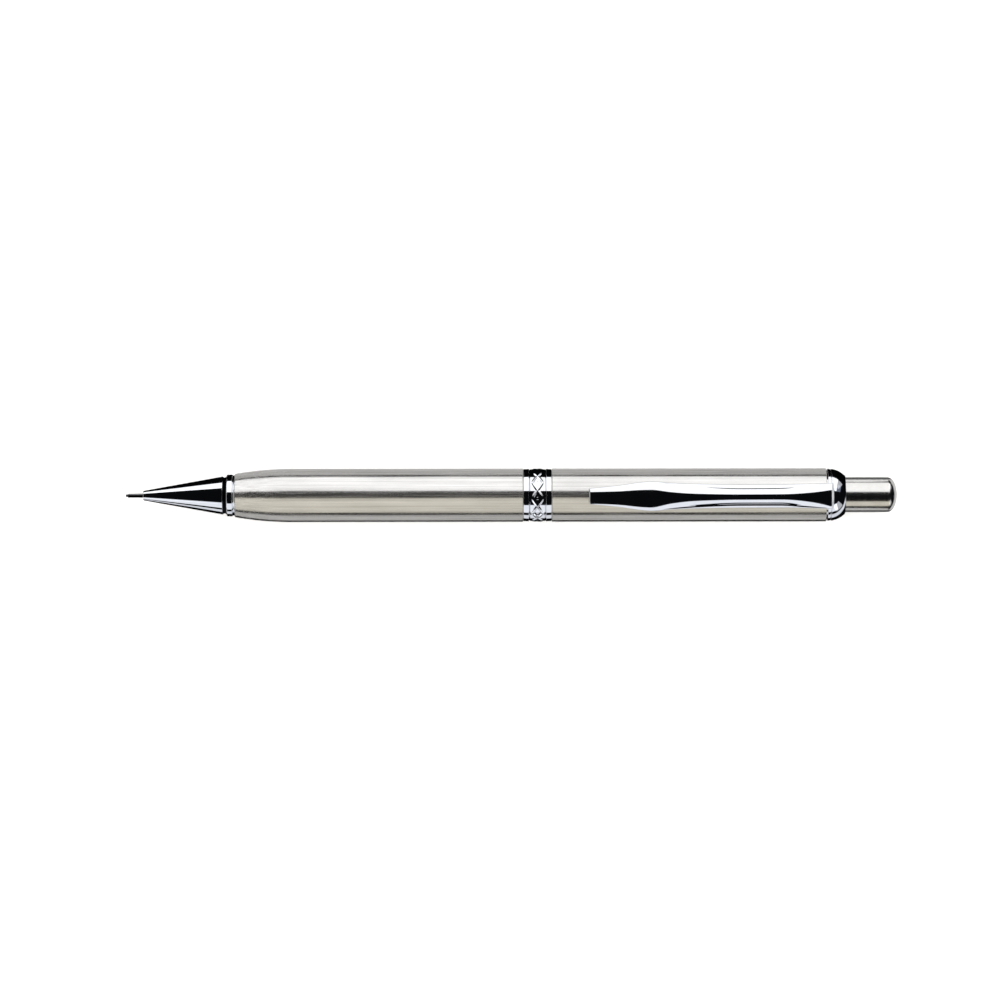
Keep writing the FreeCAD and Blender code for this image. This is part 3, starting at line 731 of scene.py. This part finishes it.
# %% [markdown]
# ## The point
# A cone with a blunt nose, and behind it a groove and a ring at the mouth of the barrel. The cone
# screws in, so its shank has a thread, which shows when the point is taken off. The thread is a
# ridge that climbs one pitch for each turn.

# %% The cone and its threaded shank
THREAD_PITCH = 0.5
THREAD_DEPTH = 0.22
NOSE_RADIUS = 0.85
CONE_BACK = 17.3
CONE_RADIUS = 3.4
GROOVE_FRONT = CONE_BACK - 0.05
GROOVE_BACK = 17.9
GROOVE_RADIUS = 3.15
# The mark that paints the groove behind the point near black, as painted shade.
GROOVE_SHADE_MARK = 2.0
SHANK_RADIUS = 2.95
SHANK_BORE = 2.32
STOP = 13.0
CHAMBER_RADIUS = 1.6
HOLE_PLAY = 0.02
THREAD_STEPS = 10
cone_front, shank_back, _ = span("tip_cone")
sleeve_front, sleeve_back, sleeve_radius = span("lead_sleeve")
_, retainer_back, retainer_radius = span("lead_retainer")
THREAD_RUN_IN = 0.35
THREAD_RUN_OUT = 0.25
THREAD_START = GROOVE_BACK + THREAD_RUN_IN
THREAD_END = shank_back - THREAD_RUN_OUT


def with_thread(station, radius, angle):
    """Cuts a thread into the shank, shallow at its two ends."""
    if not (THREAD_START <= station <= THREAD_END) or radius < SHANK_RADIUS - TINY:
        return radius
    phase = (station / THREAD_PITCH - angle / (2 * math.pi)) % 1.0
    height = abs(2 * phase - 1)
    from_end = min(station - THREAD_START, THREAD_END - station)
    fade = min(1.0, from_end / THREAD_PITCH)
    return radius - THREAD_DEPTH * (1 - height) * max(fade, 0.0)


steps = int((THREAD_END - THREAD_START) / THREAD_PITCH * THREAD_STEPS)
thread = [
    (THREAD_START + (THREAD_END - THREAD_START) * i / steps, SHANK_RADIUS, 0.0)
    for i in range(steps + 1)
]
sleeve_hole = sleeve_radius + HOLE_PLAY
retainer_hole = retainer_radius + HOLE_PLAY
front_part = rounded(
    [
        (cone_front, sleeve_hole, 0.06),
        (cone_front, NOSE_RADIUS, 0.12),
        (CONE_BACK - 0.08, CONE_RADIUS - 0.03, 0.03),
        (CONE_BACK - 0.04, CONE_RADIUS - 0.05),
        (CONE_BACK + 0.28, GROOVE_RADIUS),
        (GROOVE_BACK, GROOVE_RADIUS + 0.18),
        (GROOVE_BACK, SHANK_RADIUS),
        (THREAD_START, SHANK_RADIUS),
        (cone_front + 1, sleeve_hole),
    ]
)[:-2]
# Points in the groove carry that mark, so their colour is painted near black as shade in the recess.
front_part = [
    (station, radius, GROOVE_SHADE_MARK if GROOVE_FRONT < station <= GROOVE_BACK else rubbed)
    for station, radius, rubbed in front_part
]
back_part = rounded(
    [
        (THREAD_END, SHANK_RADIUS),
        (shank_back, SHANK_RADIUS, 0.12),
        (shank_back, SHANK_BORE, 0.1),
        (STOP, SHANK_BORE),
        (STOP, CHAMBER_RADIUS),
        (retainer_back + 0.1, CHAMBER_RADIUS),
        (retainer_back + 0.1, retainer_hole),
        (sleeve_back, retainer_hole),
        (sleeve_back, sleeve_hole),
    ]
)[1:]
mesh = turned_mesh("tip_cone_polished", front_part + thread + back_part, shape=with_thread)
cone = finish_mesh("tip_cone_polished", mesh, "tip", mirror_chrome, "polished_chrome", "tip_cone")

# %% The ring at the mouth of the barrel
ring_front, ring_back, ring_radius = span("tip_ring")
RING_HEAD_BACK = 19.4
RING_SHANK_RADIUS = 3.43
RING_BORE = 2.97
outline = rounded(
    [
        (ring_front, RING_BORE, 0.08),
        (ring_front, ring_radius, 0.22),
        (RING_HEAD_BACK - 0.42, ring_radius, 0.1),
        (RING_HEAD_BACK - 0.28, ring_radius - 0.2),
        (RING_HEAD_BACK, ring_radius - 0.06, 0.04),
        (RING_HEAD_BACK, RING_SHANK_RADIUS),
        (ring_back, RING_SHANK_RADIUS, 0.1),
        (ring_back, RING_BORE, 0.08),
    ]
)
mesh = turned_mesh("tip_ring_polished", outline)
tip_ring = finish_mesh(
    "tip_ring_polished", mesh, "barrel", mirror_chrome, "polished_chrome", "tip_ring"
)

# %% The lead and the sleeve that guides it
lead_front, lead_back, lead_radius = span("lead")
outline = rounded(
    [
        (lead_front, 0.0),
        (lead_front, lead_radius, 0.12),
        (lead_back, lead_radius, 0.02),
        (lead_back, 0.0),
    ]
)
mesh = turned_mesh("lead_stick", outline, segments=48)
lead = finish_mesh("lead_stick", mesh, "lead", graphite, "graphite", "lead")
SLEEVE_BORE = 0.28
outline = rounded(
    [
        (sleeve_front, SLEEVE_BORE, 0.03),
        (sleeve_front, sleeve_radius, 0.06),
        (sleeve_back, sleeve_radius, 0.03),
        (sleeve_back, SLEEVE_BORE, 0.02),
    ]
)
mesh = turned_mesh("guide_sleeve", outline, segments=64)
sleeve = finish_mesh("guide_sleeve", mesh, "tip", drawn_steel, "drawn_steel", "lead_sleeve")

# %% [markdown]
# ## The centre band
# Two plain rims hold a belt on which two wires seem to be plaited: they zigzag round the pencil,
# cross, and leave a lozenge with a small bead between one crossing and the next. The real band is
# rolled with a patterned wheel, so the pattern is relief on one piece of metal. The mesh does the
# same: a fine grid is wrapped round the axis, and each point's radius comes from its distance to
# the nearest wire.

# %% The relief of the belt
band_front, band_back, band_crest = span("centre_band")
SEAM = 0.04
band_front -= SEAM
band_back += SEAM
LOZENGES = 10
BELT_HALF = 1.3
BELT_FLOOR = 4.58
WIRE_REACH = 0.84
WIRE_HALF = 0.25
BEAD_RADIUS = 0.15
BEAD_HALF = 0.12
BEAD_HEIGHT = 0.28
LOZENGE_SHIFT = math.radians(5.1)
TURN_SHARPNESS = 0.93
CREST_TOP = 1.08
CREST_SOFTNESS = 0.08
WIRE_OVER = 1.0
WIRE_UNDER = 0.8
band_middle = (band_front + band_back) / 2


def zigzag(turns):
    """A wave with straight runs and softly rounded turns."""
    wave = TURN_SHARPNESS * math.sin(2 * math.pi * turns)
    return math.asin(wave) / math.asin(TURN_SHARPNESS)


def ridge(distance, half_width):
    """Height, from 0 to 1, of a ridge with straight flanks and a soft crest."""
    share = distance / half_width
    return max(0.0, CREST_TOP - math.hypot(share, CREST_SOFTNESS))


def belt_relief(station, radius, angle):
    """The belt's radius at a place: floor, two crossing wires and a bead in each lozenge."""
    along = station - band_middle
    if abs(along) > BELT_HALF - TINY or radius < BELT_FLOOR - TINY:
        return radius
    turns = (angle + LOZENGE_SHIFT) / (2 * math.pi) * LOZENGES / 2 + 0.25
    run = WIRE_REACH * 2 * LOZENGES / (2 * math.pi * band_crest)
    steep = math.cos(math.atan(run))
    height = 0.0
    for side in (1, -1):
        line = side * WIRE_REACH * zigzag(turns)
        weave = side * math.cos(2 * math.pi * turns)
        lift = (WIRE_OVER + WIRE_UNDER) / 2 + (WIRE_OVER - WIRE_UNDER) / 2 * weave
        height = max(height, lift * ridge(abs(along - line) * steep, WIRE_HALF))
    across = (2 * turns % 1.0 - 0.5) * 2 * math.pi * band_crest / LOZENGES
    from_bead = abs(math.hypot(along, across) - BEAD_RADIUS)
    height = max(height, BEAD_HEIGHT * ridge(from_bead, BEAD_HALF))
    return BELT_FLOOR + (band_crest - BELT_FLOOR) * height


# %% Rims, grooves and belt as one mesh
RIM_RADIUS = 4.65
RIM_EDGE_RADIUS = 4.59
GROOVE_WIDTH = 0.25
GROOVE_FLOOR = 4.41
BAND_BORE = 4.02
belt_front = band_middle - BELT_HALF
belt_back = band_middle + BELT_HALF
front_rim = rounded(
    [
        (band_front, BAND_BORE),
        (band_front, RIM_EDGE_RADIUS, 0.12),
        (belt_front - GROOVE_WIDTH, RIM_RADIUS, 0.04),
        (belt_front - GROOVE_WIDTH / 2, GROOVE_FLOOR),
        (belt_front, BELT_FLOOR),
        (belt_back, BELT_FLOOR),
    ]
)[:-1]
back_rim = rounded(
    [
        (belt_back, BELT_FLOOR),
        (belt_back + GROOVE_WIDTH / 2, GROOVE_FLOOR + 0.08),
        (belt_back + GROOVE_WIDTH, RIM_RADIUS, 0.1),
        (band_back, RIM_EDGE_RADIUS, 0.12),
        (band_back, BAND_BORE),
    ]
)
BELT_ROWS = 64
BELT_COLUMNS = 56
BELT_INSET = 0.002
belt = [
    (belt_front + BELT_INSET + 2 * (BELT_HALF - BELT_INSET) * i / BELT_ROWS, BELT_FLOOR, 0.0)
    for i in range(BELT_ROWS + 1)
]
mesh = turned_mesh("plaited_band", front_rim + belt + back_rim, LOZENGES * BELT_COLUMNS, belt_relief)
band = finish_mesh("plaited_band", mesh, "barrel", mirror_chrome, "polished_chrome", "centre_band")

# %% [markdown]
# ## The collar
# The dome that closes the rear barrel. A lip meets the barrel, a fine groove sets it off, and the
# dome runs in to a small flat round the button. A slot is sawn in its top for the clip's foot.
# That cut is a boolean, made once and kept in the mesh.

# %% Turn the collar
collar_shank_front, collar_back, _ = span("collar")
COLLAR_FRONT = 124.6
COLLAR_RADIUS = 4.62
LIP_BACK = 125.1
RIM_BACK = 124.85
COLLAR_END_RADIUS = 3.33
COLLAR_BORE = 3.6
COLLAR_END_BORE = 3.15
COLLAR_SHANK_RADIUS = 3.93
LIP_GROOVE = 0.16
LIP_GROOVE_DEPTH = 0.11
INNER_LIP = 0.5
DOME_STEPS = 30
dome = arc_between((RIM_BACK, COLLAR_RADIUS), (collar_back, COLLAR_END_RADIUS), RIM_BACK, DOME_STEPS)
dome_start = [point for point in dome if point[0] > LIP_BACK + LIP_GROOVE]
lip_drop = dome_start[0][1] - LIP_GROOVE_DEPTH
outline = rounded(
    [
        (collar_shank_front, COLLAR_BORE),
        (collar_shank_front, COLLAR_SHANK_RADIUS, 0.1),
        (COLLAR_FRONT, COLLAR_SHANK_RADIUS),
        (COLLAR_FRONT, COLLAR_RADIUS - 0.02, 0.1),
        (LIP_BACK, COLLAR_RADIUS - 0.03, 0.1),
        (LIP_BACK, lip_drop),
        (LIP_BACK + 0.12, lip_drop),
        (*dome_start[0], 0.05),
        dome_start[2],
    ]
)[:-1]
outline += [(station, radius, 0.0) for station, radius in dome_start[2:-1]]
outline += rounded(
    [
        dome_start[-2],
        (*dome_start[-1], 0.12),
        (collar_back, COLLAR_END_BORE, 0.05),
        (collar_back - INNER_LIP, COLLAR_END_BORE),
        (collar_back - INNER_LIP, COLLAR_BORE),
    ]
)[1:]
mesh = turned_mesh("collar_dome", outline)
collar = finish_mesh("collar_dome", mesh, "barrel", mirror_chrome, "polished_chrome", "collar")


# %% Saw the slot
def combine(piece, low, high, operation):
    """Joins a rectangular block to a piece, or cuts it out, and keeps the result in the mesh."""
    work = bmesh.new()
    bmesh.ops.create_cube(work, size=1.0)
    work.transform(Matrix.Translation((low + high) / 2) @ Matrix.Diagonal((*(high - low), 1)))
    block_mesh = bpy.data.meshes.new("block")
    work.to_mesh(block_mesh)
    work.free()
    block = bpy.data.objects.new("block", block_mesh)
    bpy.context.scene.collection.objects.link(block)
    step = piece.modifiers.new("block", "BOOLEAN")
    step.operation = operation
    step.solver = "EXACT"
    step.object = block
    bpy.context.view_layer.update()
    seen = piece.evaluated_get(bpy.context.evaluated_depsgraph_get())
    result = bpy.data.meshes.new_from_object(seen)
    piece.modifiers.clear()
    piece.data = result
    bpy.data.objects.remove(block)
    print(piece.name, "now has", len(result.polygons), "faces")


SLOT_HALF = 1.35
slot_low = on_pencil(124.45, -SLOT_HALF, 3.655)
slot_high = on_pencil(125.65, SLOT_HALF, 6.0)
combine(collar, slot_low, slot_high, "DIFFERENCE")

# %% [markdown]
# ## The push button
# A drawn cap that slides in the collar and hides the eraser. Its end is half of an ellipse, so
# the side runs into it without a corner.

# %% Turn the button
button_front, button_back, button_radius = span("push_button")
BUTTON_WALL = 0.28
BUTTON_END = 1.7
INNER_END = button_back - 1.1
INNER_CORNER = 0.5
END_STEPS = 28
bore = button_radius - BUTTON_WALL
outline = rounded(
    [
        (button_front, bore, 0.06),
        (button_front, button_radius, 0.1),
        (button_back - BUTTON_END, button_radius),
        (INNER_END, bore),
    ]
)[:-1]
for i in range(1, END_STEPS + 1):
    angle = math.pi / 2 * i / END_STEPS
    station = button_back - BUTTON_END * (1 - math.sin(angle))
    outline.append((station, button_radius * math.cos(angle), 0.0))
outline += [
    (INNER_END, 0.0, 0.0),
    (INNER_END, bore - INNER_CORNER, 0.0),
    (INNER_END - INNER_CORNER, bore, 0.0),
]
mesh = turned_mesh("push_button_cap", outline)
button = finish_mesh(
    "push_button_cap", mesh, "button", satin_steel, "brushed_button", "push_button"
)

# %% [markdown]
# ## The clip
# The clip is pressed from spring sheet and plated. Seen from above it is a leaf with a blunt tip,
# a belly, a waist and a wider root. At the belly its whole width is one soft dome. Towards the
# waist the dome narrows to a rib with a sloping flange on each side, and at the root it spreads
# again. A subdivision surface would blur those changes, so each cross-section is worked out along
# the clip and the sections are joined.

# %% Sizes along the clip, in millimetres from its tip
clip_tip, clip_back, _ = span("clip")
ROOT_GAP = 0.38
CLIP_LENGTH = clip_back - ROOT_GAP - clip_tip
half_width_at = [(0, 1.4), (5.3, 1.93), (9.6, 2.52), (11.2, 2.62), (14.5, 2.4), (19, 2.25)]
half_width_at += [(27, 2.14), (34, 2.14), (39.5, 2.22), (CLIP_LENGTH, 2.32)]
rib_half_at = [(0, 1.34), (5.3, 1.87), (9.6, 2.46), (11.2, 2.55), (14.5, 2.12), (19, 1.68)]
rib_half_at += [(27, 1.4), (34, 1.42), (39.5, 1.85), (CLIP_LENGTH, 2.26)]
crest_at = [(0, 0.6), (4.8, 0.78), (10.8, 0.95), (20, 1.0), (34, 1.0), (CLIP_LENGTH, 0.82)]
foot_level_at = [(0, 0.36), (4.8, 0.38), (10.8, 0.36), (20, 0.29), (34, 0.29), (CLIP_LENGTH, 0.36)]
TOUCH = 4.8
CREST = 25.8
CLIP_SHOULDER = CLIP_LENGTH - 4.5
BARREL_RADIUS = 4.725
CLEARANCE = 0.08
TIP_RISE = 0.35
LIFT = 0.75
FLANGE_CURVE = 1.64
FLANGE_START = 0.3
SHEET_EDGE = 0.3
EDGE_ROUND = 0.16
TIP_ROUND = 0.42
TIP_THINNING = 0.8
TIP_NARROWING = 0.25
ROOT_SLOPE = 0.36
ROOT_FALL = 0.17


def smooth_through(table, at):
    """A smooth value at a place between the rows of a table, with no overshoot."""
    places = [row[0] for row in table]
    values = [row[1] for row in table]
    gaps = np.diff(places)
    rises = np.diff(values) / gaps
    slopes = [rises[0]]
    for left, right in zip(rises[:-1], rises[1:]):
        slopes.append(0.0 if left * right <= 0 else 2 * left * right / (left + right))
    slopes.append(rises[-1])
    i = min(max(int(np.searchsorted(places, at)) - 1, 0), len(gaps) - 1)
    t = (at - places[i]) / gaps[i]
    return (
        values[i] * (1 + 2 * t) * (1 - t) ** 2
        + slopes[i] * gaps[i] * t * (1 - t) ** 2
        + values[i + 1] * t**2 * (3 - 2 * t)
        + slopes[i + 1] * gaps[i] * t**2 * (t - 1)
    )


def underside(at):
    """Height of the clip's underside over the axis: up at the tip, down where it touches, then
    arched, then flat at the root."""
    base = BARREL_RADIUS + CLEARANCE
    if at < TOUCH:
        return base + TIP_RISE * ((TOUCH - at) / TOUCH) ** 2
    if at < CREST:
        t = (at - TOUCH) / (CREST - TOUCH)
    elif at < CLIP_SHOULDER:
        t = (CLIP_SHOULDER - at) / (CLIP_SHOULDER - CREST)
    else:
        return base
    rise = 2 * t * t if t < 0.5 else 1 - 2 * (1 - t) ** 2
    return base + LIFT * rise


print("clip length, mm:", round(CLIP_LENGTH, 2))

# %% One cross-section of the clip
RIB_STEPS = 16
FLANGE_STEPS = 5
EDGE_STEPS = 5
UNDER_STEPS = 5
LEAST_FLANGE = 0.06
LOWER_BEVEL = 0.06


def clip_section(at):
    """Half of a cross-section, from the crest round the edge to the middle of the underside."""
    width = smooth_through(half_width_at, at)
    rib = min(smooth_through(rib_half_at, at), width - LEAST_FLANGE)
    crest = smooth_through(crest_at, at)
    level = smooth_through(foot_level_at, at)
    sag = crest - level
    radius = (rib**2 + sag**2) / (2 * sag)
    spread = math.asin(min(rib / radius, 1.0))
    half = []
    for i in range(RIB_STEPS + 1):
        angle = spread * i / RIB_STEPS
        half.append((radius * math.sin(angle), crest - radius * (1 - math.cos(angle))))
    flat = width - EDGE_ROUND
    for i in range(1, FLANGE_STEPS + 1):
        y = rib + (flat - rib) * i / FLANGE_STEPS
        fall = ((y - rib + FLANGE_START) ** 2 - FLANGE_START**2) / (2 * FLANGE_CURVE)
        half.append((y, level - fall))
    slope = math.atan((flat - rib + FLANGE_START) / FLANGE_CURVE)
    top = half[-1][1]
    centre_y = flat - EDGE_ROUND * math.sin(slope)
    centre_z = top - EDGE_ROUND * math.cos(slope)
    for i in range(1, EDGE_STEPS + 1):
        angle = slope + (math.pi / 2 - slope) * i / EDGE_STEPS
        half.append((centre_y + EDGE_ROUND * math.sin(angle), centre_z + EDGE_ROUND * math.cos(angle)))
    side = centre_y + EDGE_ROUND
    bottom = top - SHEET_EDGE
    half.append((side, bottom + LOWER_BEVEL))
    for i in range(UNDER_STEPS + 1):
        share = 1 - i / UNDER_STEPS
        half.append(((side - LOWER_BEVEL) * share, bottom * share**2))
    return half


def end_drop(at):
    """How far the top comes down where an end of the clip is rounded."""
    if at < TIP_ROUND:
        return TIP_ROUND - math.sqrt(TIP_ROUND**2 - (TIP_ROUND - at) ** 2)
    past_slope = at - (CLIP_LENGTH - ROOT_SLOPE)
    return ROOT_FALL * past_slope / ROOT_SLOPE if past_slope > 0 else 0.0


# %% Join the sections
TIP_SECTIONS = 8
MIDDLE_SECTIONS = 150
LEAST_HEIGHT = 0.02


def skin(sections):
    """Faces from loop to loop along a row of sections, and one face over each end."""
    faces = []
    for one, other in zip(sections[:-1], sections[1:]):
        for k in range(len(one)):
            n = (k + 1) % len(one)
            faces.append([one[k], one[n], other[n], other[k]])
    return [*faces, sections[0], list(reversed(sections[-1]))]


quarter = math.pi / 2 / (TIP_SECTIONS - 1)
places = [TIP_ROUND * (1 - math.cos(quarter * i)) for i in range(TIP_SECTIONS)]
places += list(np.linspace(TIP_ROUND, CLIP_LENGTH - ROOT_SLOPE, MIDDLE_SECTIONS)[1:-1])
places += [CLIP_LENGTH - ROOT_SLOPE * share for share in (1.0, 0.96, 0.9, 0.5, 0.1, 0.0)]
points, wear, sections = [], [], []
for at in places:
    half = clip_section(at)
    drop = end_drop(at)
    lowest = min(z for _, z in half)
    section = []
    for y, z in half + [(-y, z) for y, z in reversed(half[1:-1])]:
        if at < TIP_ROUND:
            height = lowest + (z - lowest) * (1 - TIP_THINNING * drop / TIP_ROUND)
            y *= 1 - TIP_NARROWING * drop / TIP_ROUND
        else:
            height = max(z - drop, min(z, lowest + LEAST_HEIGHT)) if z > 0 else z
        section.append(len(points))
        points.append(on_pencil(clip_tip + at, y, underside(at) + height))
        wear.append(1.0 if drop > 0 and at > TIP_ROUND else 0.0)
    sections.append(section)
mesh = mesh_from("clip_leaf", points, skin(sections), wear)
clip = finish_mesh("clip_leaf", mesh, "clip", mirror_chrome, "polished_chrome", "clip")

# %% The foot under the root, which hooks into the collar's slot
FOOT_HALF = 1.2
foot_low = on_pencil(124.75, -FOOT_HALF, 3.805)
foot_high = on_pencil(125.5, FOOT_HALF, 4.95)
combine(clip, foot_low, foot_high, "UNION")

# %% [markdown]
# ## The return spring
# A wire wound eight times round the clutch. Its two end turns lie closer together, as on a spring
# with closed ends. It can't follow the plunger as a rigid part does.

# %% Wind the spring
spring_front, spring_back, spring_outer = span("return_spring")
WIRE_RADIUS = 0.17
TURNS = 8
coil = spring_outer - WIRE_RADIUS
first_centre = spring_front + WIRE_RADIUS
last_centre = spring_back - WIRE_RADIUS
STEPS_A_TURN = 40
WIRE_SIDES = 12
CLOSED_ENDS = 0.035
points, sections = [], []
for i in range(TURNS * STEPS_A_TURN + 1):
    share = i / (TURNS * STEPS_A_TURN)
    eased = share - CLOSED_ENDS * math.sin(2 * math.pi * share)
    station = first_centre + (last_centre - first_centre) * eased
    angle = 2 * math.pi * TURNS * share
    section = []
    for k in range(WIRE_SIDES):
        round_it = 2 * math.pi * k / WIRE_SIDES
        r = coil + WIRE_RADIUS * math.cos(round_it)
        along = station + WIRE_RADIUS * math.sin(round_it)
        section.append(len(points))
        points.append(on_pencil(along, r * math.sin(angle), r * math.cos(angle)))
    sections.append(section)
mesh = mesh_from("coiled_spring", points, skin(sections))
spring = finish_mesh("coiled_spring", mesh, "barrel", spring_wire, "spring_steel", "return_spring")
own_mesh(spring)

# %% [markdown]
# ## Parts that keep their CAD shape
# The inner parts are plain turned shapes, so the CAD meshes are right as they are. Each one gets
# the finish of its real material.

# %% Finish the CAD nodes
FINISHES = {
    "front_liner": black_abs,
    "rear_liner": black_abs,
    "tube_head": black_abs,
    "chuck_sleeve": turned_brass,
    "coupling": turned_brass,
    "collar_bush": turned_brass,
    "chuck": turned_brass,
    "chuck_bush": turned_brass,
    "clutch_ring": turned_brass,
    "lead_tube": milky_pp,
    "spare_leads": graphite,
    "lead_retainer": nitrile,
    "eraser_holder": drawn_steel,
    "cleaning_pin": drawn_steel,
    "eraser": vinyl,
}
for node_name, material in FINISHES.items():
    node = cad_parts[node_name]
    node.data.materials.clear()
    node.data.materials.append(material)
print("finished", len(FINISHES), "CAD parts")

# %% [markdown]
# ## Which part sees which light
# Each kind of finish is lit on its own, as a product is in a studio where one shot is made of
# several. The warm panel fills the dark gap beside the core, but only for the barrels, so that
# brushed steel looks softer and warmer than chrome. Plated parts get a cooler box in place of the
# dim one. The upper half of the bright box is kept off the point, which gives it a broad dark core.
# The end panels light the barrels, the clip and the point, and the corner boxes light the plated
# parts and the button.

# %% Light linking
def only_on(name, pieces, *lamps):
    """Makes lamps light only some pieces."""
    group = bpy.data.collections.new(name)
    for piece in pieces:
        group.objects.link(piece)
    for lamp in lamps:
        lamp.light_linking.receiver_collection = group


def not_on(name, pieces, *lamps):
    """Makes lamps light everything but some pieces."""
    only_on(name, pieces, *lamps)
    for entry in bpy.data.collections[name].collection_objects:
        entry.light_linking.link_state = "EXCLUDE"


plated = [cone, tip_ring, band, collar, clip]
only_on("brushed_pieces", [front_shell, rear_shell], warm_panel, core_glow, *barrel_strips)
only_on("button_piece", [button], *button_strips)
only_on("plated_pieces", plated, cool_box, chrome_strip)
only_on("short_pieces", [*plated, button], *corner_boxes)
only_on("clip_piece", [clip], end_box)
only_on("long_pieces", [front_shell, rear_shell, clip, cone, tip_ring], *end_panels)
only_on("collar_piece", [collar], collar_fade)
not_on("not_plated_or_fine", [*plated, lead, sleeve], dim_box)
not_on("not_the_point", [cone, lead, sleeve], bright_high)
print("light links set")
